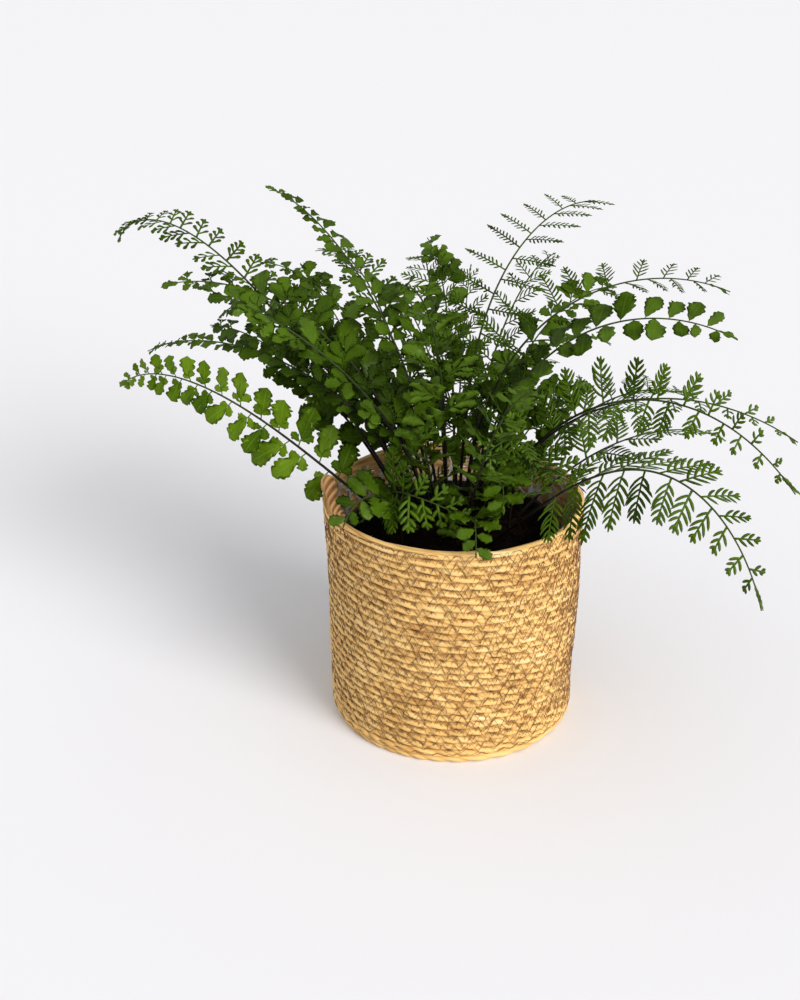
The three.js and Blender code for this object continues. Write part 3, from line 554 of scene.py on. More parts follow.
def basket_coil():
    """The basket: one cord of two strands, coiled from the middle of the base to the rim. In the last turn
    its lower side still climbs while its upper side stays level, so it thins to almost nothing."""
    length, azimuth, r, z, first, second = coil_line()
    slow = drift(length, 60, 1)
    half_height = HALF_HEIGHT * (1 + 0.07 * drift(length, 22, 2))
    half_depth = HALF_DEPTH * (1 + 0.09 * drift(length, 17, 3))
    lower, upper = z - HALF_HEIGHT, np.minimum(z + HALF_HEIGHT, BASKET_HEIGHT)
    half_height = half_height * np.maximum((upper - lower) / (2 * HALF_HEIGHT), 0.12)
    z = (upper + lower) / 2
    wall = np.clip((z - 12) / 30, 0, 1)
    swell = 0.7 * np.sin(np.radians(azimuth) * 2 + z / 31) + 0.5 * np.sin(np.radians(azimuth) * 3 - z / 17)
    centre = polar(r, azimuth, z) + second * (wall * (swell - 0.2) + 0.25 * slow)[:, None]
    lay = LAY * (1 + 0.3 * drift(length, 50, 4)) * mix(1, 1.5, np.clip((z - 80) / 40, 0, 1))
    lay = lay * mix(1, 2.2, np.clip((z - 138) / 3, 0, 1))
    turn = 2 * np.pi * np.cumsum(STEP / lay)
    angles = turn[:, None] + 2 * np.pi * np.arange(CORD_CORNERS) / CORD_CORNERS
    size = strands(angles - turn[:, None], *CORD_STRANDS)
    high = (size * np.cos(angles) * half_height[:, None])[..., None] * first[:, None]
    deep = (size * np.sin(angles) * half_depth[:, None])[..., None] * second[:, None]
    points = centre[:, None] + high + deep
    apart = np.cos(angles - turn[:, None])
    tones = np.where(apart > 0, drift(length, 13, 5)[:, None], drift(length, 13, 6)[:, None])
    patches = 0.12 * drift(length, 230, 7)[:, None]
    # painted shade: the tone is darkened in the grooves between the two strands
    painted_groove_shade = np.clip(1 - np.abs(apart) * 3.2, 0, 1)
    tone = np.clip(0.55 + 0.24 * tones + patches, 0, 1) - 0.35 * painted_groove_shade
    across = np.broadcast_to(np.arange(CORD_CORNERS) / CORD_CORNERS * 6.0, size.shape)
    mark = marks(length[:, None] * 1.0, across, tone)
    base = int(np.searchsorted(z, FOOT_ROUND + 0.5))
    middle = (base + len(z)) // 2
    for name, start, stop in (
        ("coiled_base", 0, base + 1),
        ("coiled_wall_lower", base, middle + 1),
        ("coiled_wall_upper", middle, len(z)),
    ):
        draft = Draft()
        part = slice(start, stop)
        draft.add(points[part], ring_faces(1, stop - start, CORD_CORNERS), mark[part])
        draft.piece(name, ["basket"], "seagrass", SEAGRASS)
    return length[base:], azimuth[base:], centre[base:], first[base:], second[base:]


THREAD_RADIUS = 0.17
THREADS = (  # name, mean length of a stitch, its reach from the row's middle, start along the cord
    ("stitching", 3.7, 4.6, 0),
    ("cross_stitching", 6.3, 6.2, 40),
)
PLAIN_SIDE = 325  # azimuth at which the thread stands out most


def stitching(length, azimuth, centre, first, second):
    """The binding threads: each a zigzag over the rows, from below a row's middle to above it and back,
    that lies on the crests of the cord and dips between them."""
    random = np.random.default_rng(11)
    end = length[-1] - 25
    for k, (name, pitch, reach, start) in enumerate(THREADS):
        steps = random.uniform(0.55, 1.45, int((end - length[0]) / pitch * 1.1)) * pitch
        zigs = length[0] + start + np.cumsum(steps)
        zigs = zigs[zigs < end]
        high = np.where(np.arange(len(zigs)) % 2, 1, -1) * random.uniform(0.62, 1.1, len(zigs)) * reach
        at = np.linspace(0, len(zigs) - 1, (len(zigs) - 1) * 3 + 1)
        s = np.interp(at, np.arange(len(zigs)), zigs)
        y = np.interp(at, np.arange(len(zigs)), high)
        i = np.clip(np.searchsorted(length, s), 1, len(length) - 1)
        y = np.minimum(y, BASKET_HEIGHT - 1.5 - centre[i, 2])
        y = y * np.clip((centre[i, 2] - 4) / 14, 0.1, 1)
        valley = np.abs(np.abs(y) % ROW - ROW / 2) / (ROW / 2)
        plain = (1 - np.cos(np.radians(azimuth[i] - PLAIN_SIDE))) / 2
        out = HALF_DEPTH + 0.1 - 0.75 * (1 - valley) - 0.45 * plain * (1 + 0.8 * drift(s, 90, 14))
        path = centre[i] + first[i] * y[:, None] + second[i] * out[:, None]
        tone = 0.5 + 0.5 * drift(s, 25, 12 + k)
        points = rings(path, THREAD_RADIUS, 2 * np.pi * (np.arange(3) + 0.5) / 3, *square_to(path))
        draft = Draft()
        draft.add(points, ring_faces(1, len(path), 3), marks(s[:, None], 0, tone[:, None]))
        draft.piece(name, [], "rope", THREAD)


HANDLE_LAY = 15  # length in which the rope's three strands turn once
HANDLE_STRANDS = (3, 0.48)  # the same for the rope
HANDLE_CORNERS = 24
HANDLE_INSET = 3.5  # of its middle from the rim's outer edge


def rope_handle():
    """The handle: a rope of three strands along an arch. It lies on the rim at both ends and rises by
    HANDLE_RISE times the square of a cosine between them."""
    s = np.linspace(-1, 1, 90)
    lifted = np.cos(np.minimum(np.abs(s) / HANDLE_LIFTED, 1) * np.pi / 2) ** 2
    thick = mix(HANDLE_END_RADIUS, HANDLE_RADIUS, lifted**0.3)
    z = BASKET_HEIGHT - 0.6 + thick * 0.92 + HANDLE_RISE * lifted
    path = polar(RIM_RADIUS - HANDLE_INSET, HANDLE_AZIMUTH + s * HANDLE_SPAN / 2, z)
    length = running(path)
    turn = 2 * np.pi * length[:, None] / HANDLE_LAY
    share = np.arange(HANDLE_CORNERS) / HANDLE_CORNERS
    angles = turn + 2 * np.pi * share
    size = strands(angles - turn, *HANDLE_STRANDS) * thick[:, None]
    # painted shade and light: besides a random drift, the tone is darker in the grooves between the three
    # strands and lighter on their crowns
    tone = 0.4 + 0.45 * np.cos((angles - turn) * HANDLE_STRANDS[0]) + 0.2 * drift(length, 12, 21)[:, None]
    mark = marks(length[:, None], np.broadcast_to(share * 9.0, size.shape), tone)
    draft = Draft()
    points = rings(path, size, angles, *square_to(path))
    draft.add(points, ring_faces(1, len(s), HANDLE_CORNERS), mark)
    draft.piece("twisted_handle", ["handle"], "rope", ROPE)


# ---- the liner, the pot, the soil and the crown ----
CREASES = (  # waves round the film, waves up it in radians a millimetre, share
    (9, 0.05, 1.0),
    (-14, 0.09, 0.8),
    (23, -0.13, 0.6),
    (31, 0.21, 0.4),
    (-47, 0.3, 0.3),
)
FILM = 0.15  # thickness of the film
FILM_RADIUS = 72.6
FILM_FLARE = 2.4  # how much wider the film is at its edge
FILM_EDGE = 143.5  # mean height of its edge
FILM_FOOT = (64.0, 7.6)  # radius and height of its flat floor
FILM_PEAKS = ((28, 7.5), (172, 7), (92, 3))  # azimuth and height of where it stands above the rim


def creases(azimuth, z):
    """Creases of the film: the sharp valleys of |sin| waves that run at several slants, added up."""
    a = np.radians(azimuth)
    total = 0
    for k, (around, rise, share) in enumerate(CREASES):
        bent = around * a + rise * z + 1.3 * np.sin(3 * a + z / 19 + k)
        total = total + share * (1 - np.abs(np.sin(bent)))
    return total / 3.1


def film():
    """The liner: a cup of film between the coil and the pot, creased in and out, with a ragged edge that
    stands above the rim in places."""
    around = 360
    azimuth = np.arange(around) * 360 / around
    edge = FILM_EDGE + 1.2 * drift(azimuth, 7, 31)
    for middle, rise in FILM_PEAKS:
        apart = (azimuth - middle + 180) % 360 - 180
        edge = edge + rise * np.exp(-((apart / 26) ** 2)) * (1 + 0.35 * drift(azimuth, 4, middle))
    z = mix(16, edge[None, :], np.linspace(0, 1, 34)[:, None])
    fold = creases(azimuth[None, :], z)
    loose = np.clip((z - 100) / 40, 0.25, 1)
    radius = FILM_RADIUS + 3.0 * loose * (fold - 0.4) + FILM_FLARE * (z / BASKET_HEIGHT) ** 2
    outer = polar(radius, azimuth[None, :], z)
    inner = polar(radius - FILM, azimuth[None, :], z)
    foot_radius, foot = FILM_FOOT
    foot = polar(np.full(around, foot_radius), azimuth, foot)[None]
    raised = foot + [0, 0, FILM]
    narrow = [0.02, 0.02, 1]
    points = np.concatenate([raised * narrow, raised, inner, outer[::-1], foot, foot * narrow])
    # the tone marks the crease valleys, where the film's material paints its highlights
    tone = np.clip((fold - 0.42) * 1.9, 0, 1)
    tone = np.concatenate([0 * tone[:2], tone, tone[::-1], 0 * tone[:2]])
    draft = Draft()
    draft.add(points, [f[:, ::-1] for f in ring_faces(1, len(points), around)], marks(0, 0, tone))
    draft.piece("creased_liner", ["liner"], "clear_film", CLEAR_FILM)


def turned(profile, around):
    """A closed body turned about Z: the profile's (radius, height) points, from the axis round to the axis,
    at each of `around` azimuths."""
    profile = np.asarray(profile, float)
    azimuth = np.arange(around) * 360 / around
    return polar(np.maximum(profile[:, :1], 0.05), azimuth[None, :], profile[:, 1:])


def nursery_pot():
    """The pot: a tapered wall on a flat floor, with a stepped collar and a rounded lip."""
    top = POT_FLOOR + POT_HEIGHT
    lip = POT_RIM_RADIUS
    inside = POT_FLOOR + POT_WALL
    profile = [
        (0, POT_FLOOR), (POT_BASE_RADIUS - 2, POT_FLOOR), (POT_BASE_RADIUS, POT_FLOOR + 1),
        (lip - 2.7, top - 10.5), (lip - 2.2, top - 10), (lip - 0.4, top - 9.5), (lip, top - 8.6),
        (lip, top - 1), (lip - 0.6, top), (lip - 1.6, top), (lip - 2.2, top - 0.8), (lip - 2.4, top - 8),
        (lip - 4.2, top - 11), (POT_BASE_RADIUS - POT_WALL, inside + 0.4),
        (POT_BASE_RADIUS - 3, inside), (0, inside),
    ]
    around = 120
    draft = Draft()
    draft.add(turned(profile, around), ring_faces(1, len(profile), around), marks(0, 0, 0))
    draft.piece("moulded_pot", ["nursery_pot"], "black_plastic", PLASTIC)


def lumps(x, y):
    """Uneven ground: sines of several slants and lengths, multiplied and added."""
    broad = np.sin(x / 7.3 + 1.1) * np.sin(y / 6.1) + 0.6 * np.sin(x / 2.9 - y / 4.3)
    return broad + 0.5 * np.sin(x / 1.9 + y / 1.6)


SOIL_RADIUS = 61.2
SOIL_FOOT = (46.6, 10.4)  # radius and height of its lower edge
CRUMBS = 1500


def soil():
    """The soil: a body that fills the pot, with an uneven top, and loose crumbs of eight faces on it."""
    foot_radius, foot = SOIL_FOOT
    sides = [(mix(foot_radius, SOIL_RADIUS, t), mix(foot, SOIL_TOP - 2, t)) for t in (0, 0.5, 1)]
    top = [(r, SOIL_TOP) for r in np.linspace(SOIL_RADIUS, 0, 56)]
    around = 150
    points = turned([(0, foot)] + sides + top, around)
    x, y, z = np.moveaxis(points, -1, 0)
    points[..., 2] += np.where(z > SOIL_TOP - 1.5, 0.8 * lumps(x, y), 0)
    draft = Draft()
    draft.add(points, ring_faces(1, len(points), around), marks(0, 0, 0.25))
    random = np.random.default_rng(41)
    r = SOIL_RADIUS * np.sqrt(random.uniform(0.45, 0.97, CRUMBS))
    azimuth = random.uniform(0, 360, CRUMBS)
    size = random.uniform(0.5, 1.5, CRUMBS) * random.uniform(0.7, 1.5, CRUMBS)
    centre = polar(r, azimuth, SOIL_TOP)
    centre[:, 2] += 0.8 * lumps(centre[:, 0], centre[:, 1]) + 0.3 * size
    square = np.array([[1, 0, 0], [0, 1, 0], [-1, 0, 0], [0, -1, 0]], float)
    crumb = np.stack([0.25 * square - [0, 0, 1], square, 0.35 * square + [0, 0, 1]])
    crumbs = crumb * random.uniform(0.6, 1.3, (CRUMBS, 3, 4, 1)) * size[:, None, None, None]
    spin = random.uniform(0, np.pi, CRUMBS)[:, None, None]
    crumbs[..., 0], crumbs[..., 1] = spun(crumbs[..., 0], crumbs[..., 1], spin)
    crumbs = crumbs + centre[:, None, None]
    tone = np.where(random.uniform(0, 1, CRUMBS) < 0.03, 1.6, random.uniform(0, 0.9, CRUMBS))
    draft.add(crumbs, ring_faces(CRUMBS, 3, 4), marks(0, 0, tone[:, None, None]))
    draft.piece("loose_soil", ["soil"], "potting_soil", EARTH_DARKENED_AS_SHADE)


def papery(root, axis, flat, length, wide, high, bow):
    """Papery scales: thin pointed bars of three rings, from a root along an axis, that bend down by `bow` of
    their length as the square of the way along. `wide` and `high` are half a ring's two sizes."""
    along = np.array([0, 0.5, 1.0])
    upper = np.cross(axis, flat)[:, None]
    path = root[:, None] + axis[:, None] * (length[:, None] * along)[..., None]
    path = path - upper * (length[:, None] * bow * along**2)[..., None]
    return flat_bar(path, flat[:, None] * np.array(wide)[:, None], upper * np.array(high)[:, None])


CROWN_FOOT = 115.6
CROWN_SCALES = 900


def crown_height(r):
    """Height of the crown's surface at a radius: a flat mound."""
    places = CROWN_RADIUS * np.array([0, 0.4, 0.8, 1])
    return SOIL_TOP + CROWN_RISE * np.interp(r, places, [1, 1, 0.55, -0.1])


def crown():
    """The crown: a lumpy mound covered with overlapping papery scales that lean outwards and up."""
    top = [(r, crown_height(r)) for r in np.linspace(CROWN_RADIUS, 0, 40)]
    around = 110
    points = turned([(0, CROWN_FOOT), (CROWN_RADIUS - 3, CROWN_FOOT)] + top, around)
    x, y, z = np.moveaxis(points, -1, 0)
    points[..., 2] += np.where(z > SOIL_TOP - 2, 0.6 * lumps(1.3 * x, 1.3 * y), 0)
    draft = Draft()
    draft.add(points, ring_faces(1, len(points), around), marks(0, 0, 0.2))
    random = np.random.default_rng(51)
    r = CROWN_RADIUS * np.sqrt(random.uniform(0, 1, CROWN_SCALES))
    azimuth = random.uniform(0, 360, CROWN_SCALES)
    root = polar(r, azimuth, crown_height(r) - 0.6)
    lean = np.radians(random.uniform(25, 80, CROWN_SCALES))
    heading = azimuth + random.uniform(-50, 50, CROWN_SCALES)
    axis = polar(np.sin(lean), heading, np.cos(lean))
    flat = unit(np.cross([0, 0, 1.0], axis))
    length = random.uniform(3, 6.5, CROWN_SCALES)
    scales = papery(root, axis, flat, length, (0.7, 0.6, 0.05), (0.12, 0.1, 0.03), 0.22)
    tone = random.uniform(0, 1, CROWN_SCALES)[:, None, None]
    draft.add(scales, ring_faces(CROWN_SCALES, 3, 4), marks(0, 0, tone))
    draft.piece("scaly_crown", ["crown"], "scales", SCALES_DARKENED_AS_SHADE)


# ---- fronds ----
# What differs from kind to kind: the share of the length at which the leaflets begin, how much chance there
# is in their set, the distance between those of one side, in millimetres or in half widths, the length of
# the last over the longest, the materials of leaflets and stalk, and the slot.
Kind = namedtuple("Kind", "start loose spacing by_width last blade stalk slot")
KINDS = {
    "fine": Kind(0.22, 0.8, 17, False, 0.28, FINE_BLADE, STALK, "fine_leaf"),
    "forked": Kind(0.24, 1.1, 15, False, 0.34, FINE_BLADE, STALK, "fine_leaf"),
    "feathery": Kind(0.26, 0.6, 15.5, False, 0.4, FINE_BLADE, STALK, "fine_leaf"),
    "glossy": Kind(0.27, 0.8, 19, False, 0.16, GLOSSY_BLADE, STALK, "fine_leaf"),
    "lush": Kind(0.15, 1.1, 15, False, 0.3, GLOSSY_BLADE, STALK, "fine_leaf"),
    "broad": Kind(0.22, 1.2, 0.55, True, 0.38, BROAD_BLADE, STALK, "broad_leaf"),
    "bushy": Kind(0.18, 1.6, 20, False, 0.5, BROAD_BLADE, STALK, "broad_leaf"),
    "young": Kind(0.19, 0.9, 0.5, True, 0.22, YOUNG_BLADE, YOUNG_STALK, "young_leaf"),
}
SHORT = 130  # a frond up to this length is leafy nearly from its foot
LOW_START = 0.12
BLADE_END = 0.96
CROWDING = 0.3  # how much closer the leaflets stand at the tip
FIRST_SHARE = 0.78  # length of the first leaflet over the longest
WIDEST = 0.22  # place of the longest, from the first leaflet, 0, to the last, 1
SPREAD_LOST = 22  # degrees of its spread that a frond loses by its tip
LIGHT = (0.1, -0.76, 0.64)  # the direction the leaflets turn their upper faces to
TURNED = 0.6  # how far they turn
DROOP = 0.12  # drop of a leaflet's tip over its length
COURSE_STEPS = 192
STALK_CORNERS = 7
STALK_SCALES = 26
COMPOUND_SHARE = 0.7  # of the leaflets of a bushy frond


class Frond:
    """One frond: its numbers, and the course of its midrib."""

    def __init__(self, row, number):
        (self.kind, self.azimuth, self.foot, self.lean0, self.lean1, self.bend, self.sweep, self.length,
         self.half, self.roll, self.spread, self.cup) = row
        self.number = number
        self.own = KINDS[self.kind]
        self.start = self.own.start if self.length > SHORT else LOW_START
        middle = (np.arange(COURSE_STEPS) + 0.5) / COURSE_STEPS
        steps = self.directions(middle)[0] * self.length / COURSE_STEPS
        start = polar(self.foot, self.azimuth, STALK_LEVEL)
        self.course = start + np.concatenate([np.zeros((1, 3)), np.cumsum(steps, axis=0)])

    def directions(self, t):
        """Tangent, upper face's normal and right-hand side at shares t of the length. The lean goes from
        lean0 to lean1 as t to the power `bend`, the azimuth turns by sweep x t, and the faces roll."""
        t = np.asarray(t, float)
        lean = np.radians(mix(self.lean0, self.lean1, np.clip(t, 0, 1) ** self.bend))
        a = np.radians(self.azimuth + self.sweep * t)
        ahead = np.stack([np.sin(lean) * np.cos(a), np.sin(lean) * np.sin(a), np.cos(lean)], -1)
        normal = np.stack([-np.cos(lean) * np.cos(a), -np.cos(lean) * np.sin(a), np.sin(lean)], -1)
        side = np.cross(ahead, normal)
        roll = np.radians(self.roll * np.minimum(1, 3 * np.maximum(t, 0)))[..., None]
        normal = normal * np.cos(roll) + side * np.sin(roll)
        return ahead, normal, np.cross(ahead, normal)

    def at(self, t):
        """Points of the midrib at shares t of the length; below 0 it goes straight on."""
        t = np.asarray(t, float)
        x = np.clip(t, 0, 1) * COURSE_STEPS
        steps = np.arange(COURSE_STEPS + 1)
        points = np.stack([np.interp(x, steps, self.course[:, k]) for k in range(3)], -1)
        return points + self.directions(t)[0] * (np.minimum(t, 0) * self.length)[..., None]

    def thickness(self, t):
        """Radius of the stalk."""
        return mix(1.2, 0.34, np.clip(t, 0, 1) ** 0.7) * (1 if self.length > 200 else 0.85)

    def leaflet_count(self):
        """How many leaflets it has on both sides; a short frond has them closer together."""
        measure = self.half if self.own.by_width else min(1, self.length / 200) ** 0.5
        return round(2 * (BLADE_END - self.start) * self.length / (self.own.spacing * measure))


def envelope(u, last):
    """Share of the half width at u, from the first leaflet, 0, to the last, 1: it grows to the widest place
    and then falls to `last`."""
    fall = np.maximum((u - WIDEST) / (1 - WIDEST), 0)
    return np.where(u < WIDEST, mix(FIRST_SHARE, 1, u / WIDEST), mix(1, last, fall**1.2))


POINTED = (0.6, 0.85, 1.0, 0.85, 0.2)  # shares of a lobe's width along it
CLUBBED = (0.6, 0.7, 0.85, 1.35, 0.7)
LOBES = {  # spacing of the lobes, reach over the leaflet's length, longest reach, half width, widths along
    "fine": (3.3, 0.32, 8.5, 0.42, POINTED),
    "forked": (4.8, 0.34, 8.5, 0.85, CLUBBED),
    "feathery": (3.5, 0.14, 4.5, 0.4, POINTED),
    "glossy": (3.8, 0.37, 12.0, 0.72, POINTED),
    "lush": (5.0, 0.38, 14.0, 1.1, POINTED),
}


def rib(length, t, half, high):
    """A leaflet's rib: a bar of four corners along x through the shares t of the length."""
    bar = flat_bar(np.outer(t * length, [1, 0, 0]), np.outer(half, [0, 1, 0]), np.outer(high, [0, 0, 1]))
    return bar[None], ring_faces(1, len(t), 4), 0.5, np.array([0.3, 0, 0.3, 3.3])


def cut_leaflet(length, luck, kind):
    """A cut leaflet, flat: x along its rib, y across, z up. The rib is a thin bar; the lobes are flat bars
    that leave it at a slant, bend forward as the square of the way along, and narrow to a blunt tip.
    Returns a list of (points, faces, along, across)."""
    spacing, share, longest, thick, widths = LOBES[kind]
    count = int(np.clip(round(0.86 * length / spacing), 2, 12))
    i = np.repeat(np.arange(count), 2)
    side = np.tile([1, -1], count)
    start = length * (0.07 + 0.86 * (i + 0.3 + 0.3 * (side > 0)) / count)
    reach = min(share * length + 1.2, longest)
    u = (i + 0.5) / count
    size = reach * (1 - 0.72 * u**1.9) * (0.75 + 0.25 * np.minimum(1, u * 4))
    size = size * (1 + 0.12 * luck.uniform(-1, 1, len(i)))
    slant = np.radians(56 + 7 * luck.uniform(-1, 1, len(i)))
    s = np.array([0, 0.22, 0.5, 0.8, 1.0])
    x = start[:, None] + size[:, None] * (np.cos(slant)[:, None] * s + 0.2 * s**2)
    y = size[:, None] * (np.sin(slant)[:, None] * s - 0.14 * s**2)
    lift = size[:, None] * (0.2 * s - 0.22 * s**2 + 0.12 * luck.uniform(-1, 1, (len(i), 1)) * s)
    path = np.stack([x, y * side[:, None], lift], -1)
    level = unit(np.cross([0, 0, 1.0], unit(np.gradient(path, axis=1))))
    thick = thick + 0.006 * length
    wide = level * (thick * np.array(widths))[:, None]
    high = np.outer([0.16, 0.2, 0.2, 0.16, 0.06], [0, 0, 1])
    edge = np.array([1, 0.04, 1, 3.1]) * (0.35 + 0.65 * s)[:, None]
    across = np.where(np.arange(4) == 3, 3.3, edge)
    lobes = flat_bar(path, wide, high), ring_faces(len(i), len(s), 4), 0.5, across
    t = np.linspace(0, 1, 8)
    half = np.where(t > 0.85, 1.5 * (1.06 - t) / 0.2, mix(0.8, 0.45, t)) * thick
    return [lobes, rib(length, t, half, mix(0.4, 0.16, t))]


def toothed_leaflet(length, luck, broad, blunt, fineness=4, pitch=3.0):
    """A toothed leaflet, flat, on a short stalk: its half width is q^a (1 - q)^b of the way along, with
    round teeth `pitch` apart, 1 - depth (1 - |sin|); the lines across it slant forward, it is folded up a
    little along its rib and its edges wave. `blunt` moves its widest place towards the tip. Each section is
    a lens. Returns a list of (points, faces, along, across)."""
    teeth = int(np.clip(round(length / pitch), 3, 6))
    u = np.concatenate([[0, 0.05], np.linspace(0.09, 1, fineness * teeth + 1)])
    q = np.clip((u - 0.05) / 0.95, 0, 1)
    a, b = mix(0.7, 1.0, blunt), mix(0.7, 0.46, blunt)
    outline = q**a * (1 - q) ** b / ((a / (a + b)) ** a * (b / (a + b)) ** b)
    depth = luck.uniform(0.2, 0.42)
    v = np.array([1, 0.5, 0, -0.5, -1, 0])
    lower = np.arange(6) == 5
    waves = np.abs(np.sin(np.pi * (teeth * q[:, None] + np.where(v > 0, 0.0, 0.3))))
    notched = 1 - depth * (1 - waves) ** 1.2
    uneven = 1 + 0.16 * luck.uniform(-1, 1, 2)
    half = (length * broad * outline)[:, None] * np.where(v > 0, uneven[0], uneven[1])
    y = np.maximum(half * mix(1, notched, np.abs(v) ** 2), 0.24) * v
    x = length * u[:, None] + mix(0.4, 0.2, blunt) * np.abs(y) * (1 - u[:, None] ** 2)
    x = x * length / x.max()
    curl = luck.uniform(-0.1, 0.22)
    wave = 0.06 * length * np.sin(2 * np.pi * (1.7 * u[:, None] + luck.uniform()) + 1.2 * np.sign(v)) * v**2
    z = luck.uniform(0.05, 0.3) * np.abs(y) + wave * np.minimum(1, outline[:, None] * 1.5)
    z = z - curl * length * q[:, None] ** 2
    lens = mix(0.26, 0.18, u)[:, None] * (1 - np.abs(v) ** 3) * np.where(lower, -1, 1)
    points = np.stack([x, y, z + lens], -1)
    across = np.where(lower, 3.0, np.abs(v))
    return [(points[None], ring_faces(1, len(u), 6), u[None, :, None], across)]


def compound_leaflet(length, luck, pairs, share, pitch=3.0):
    """A compound leaflet, flat: a thin rib with toothed leaflets in pairs along it and one, which is
    `share` of its length, at its end, each turned and tilted a little by chance. Returns a list of
    (points, faces, along, across)."""
    patches = []
    count = 2 * pairs + 1
    first = mix(1.1, 0.24, share)
    for i in range(count):
        if i < count - 1:
            root = length * (0.08 + 0.9 * (1 - share) * (i + 0.5) / count)
            size = length * mix(first, 0.75 * first, i / count) * (1 + 0.15 * luck.uniform(-1, 1))
            angle = -50 if i % 2 else 50
        else:
            root, size, angle = length * (1 - share), length * share, 0
        angle = np.radians(angle + 14 * luck.uniform(-1, 1))
        tilt = np.radians(22 * luck.uniform(-1, 1))
        blade = toothed_leaflet(size, luck, luck.uniform(0.34, 0.44), 0.5, 3, pitch)
        for points, faces, along, across in blade:
            x, y, z = np.moveaxis(points, -1, 0)
            y, z = spun(y, z + 0.12 * np.sin(i * 2.4), tilt)
            x, y = spun(x, y, angle)
            patches.append((np.stack([root + x, y, z], -1), faces, along, across))
    t = np.linspace(0, 0.66, 4)
    patches.append(rib(length, t, mix(0.4, 0.25, t), mix(0.35, 0.25, t)))
    return patches


def leaflet(kind, length, luck):
    """The patches of one leaflet of a kind."""
    if kind in LOBES:
        return cut_leaflet(length, luck, kind)
    if kind == "young":
        return compound_leaflet(length, luck, 1, 0.86, 4.2)
    if kind == "bushy" and luck.uniform() < COMPOUND_SHARE:
        return compound_leaflet(length, luck, 2 if length > 15 else 1, 0.56)
    return toothed_leaflet(length, luck, luck.uniform(0.32, 0.4), luck.uniform(0.1, 0.45))


def leaflet_frame(frond, j, count, t, cup, angle, twist):
    """Root, axis, forward side and normal of the j-th leaflet, bent by `cup` and `angle` degrees and turned
    about its own rib: by `twist`, and towards the light by adding that to its normal."""
    ahead, normal, side = frond.directions(t)
    u = j / (count - 1)
    out = -1 if j % 2 else 1
    angle = np.radians(frond.spread - SPREAD_LOST * u + angle)
    cup = np.radians(frond.cup + cup)
    axis = ahead * np.cos(angle) + side * out * np.sin(angle) * np.cos(cup)
    axis = axis + normal * np.sin(angle) * np.sin(cup)
    forward = unit(ahead - axis * (ahead @ axis))
    twist = np.radians(twist)
    up = np.cross(forward, axis) * -out * np.cos(twist) + forward * np.sin(twist)
    lit = np.array(LIGHT)
    up = unit(up + TURNED * (lit - axis * (axis @ lit)))
    return frond.at(t) + side * out * frond.thickness(t) * 0.6, axis, np.cross(up, axis), up


def set_out(points, place, length):
    """Flat leaflet points put in their place, drooping as the square of the way along."""
    root, axis, second, up = place
    x, y, z = points[..., :1], points[..., 1:2], points[..., 2:]
    return root + axis * x + second * y + up * (z - DROOP * length * (x / length) ** 2)


TILTS = [(0, 0), (14, 0), (-14, 0), (28, -6), (-28, -6), (0, -18), (42, -10), (-42, -10)]
# points of a leaflet that are kept clear, over its length
PROBES = [(0.3, 0), (0.65, 0), (1, 0), (0.4, 0.22), (0.4, -0.22), (0.7, 0.176), (0.7, -0.176)]
STRAY = (9, 7, 20)  # degrees by which chance turns a leaflet's cup, angle and twist, times `loose`
TILT_COST = 0.12  # distance that each further tilt has to gain
ENOUGH = 4.0  # more distance than this counts for nothing
CLEAR = 3.5  # distance at which no further tilt is tried
TIGHT = 0.9  # distance below which a leaflet is made shorter
SHORTER = 0.7
TOO_TIGHT = 0.5  # distance below which it is left out
FAR = 45  # nothing further off is looked at
RIM_RINGS = ((76.5, 150), (82, 150), (83.5, 143), (83, 135), (76, 143))  # radius, height: kept clear too
TIP_SHARE = 0.05  # length of the end leaflet over the frond's


def roomiest(frond, j, count, t, length, luck):
    """The tilt, of a few, that keeps a leaflet furthest from what is already placed; bigger tilts count for
    less. Returns how near its neighbours are, its frame and its probes."""
    probe = np.array([(x, y, 0) for x, y in PROBES]) * length
    own_cup, own_angle, twist = (frond.own.loose * stray * luck.uniform(-1, 1) for stray in STRAY)
    best = None
    for k, (cup, angle) in enumerate(TILTS):
        place = leaflet_frame(frond, j, count, t, own_cup + cup, own_angle + angle, twist)
        points = set_out(probe, place, length)
        near = ROOM.nearest(points, frond.number)
        score = min(near, ENOUGH) - TILT_COST * k
        if best is None or score > best[0]:
            best = score, near, place, points
        if near > CLEAR:
            break
    return best[1:]


class Room:
    """Points of what is already placed, each with its frond's number."""

    def __init__(self):
        self.points, self.owners = np.zeros((0, 3)), np.zeros(0, int)

    def take(self, points, owner):
        """Adds points."""
        self.points = np.concatenate([self.points, points])
        self.owners = np.concatenate([self.owners, np.full(len(points), owner)])

    def nearest(self, points, owner):
        """Smallest distance from points to what other owners have placed."""
        other = self.points[self.owners != owner]
        centre = points.mean(0)
        close = other[np.abs(other - centre).max(1) < FAR]
        if not len(close):
            return float(FAR)
        return float(np.sqrt(((points[:, None] - close[None]) ** 2).sum(-1)).min())


ROOM = Room()


def stalk(draft, frond):
    """The stalk: a bar, a little flatter along its upper side."""
    t = np.linspace(-STALK_DEPTH / frond.length, 1.0, 90)
    _, normal, side = frond.directions(t)
    a = 2 * np.pi * np.arange(STALK_CORNERS) / STALK_CORNERS
    radius = frond.thickness(t)[:, None] * (1 - 0.22 * np.exp(-((a - np.pi / 2) ** 2) / 0.2))
    points = rings(frond.at(t), radius, a, -side, normal)
    draft.add(points, ring_faces(1, len(t), STALK_CORNERS), marks(np.clip(t, 0, 1)[:, None], 0, 0.5))


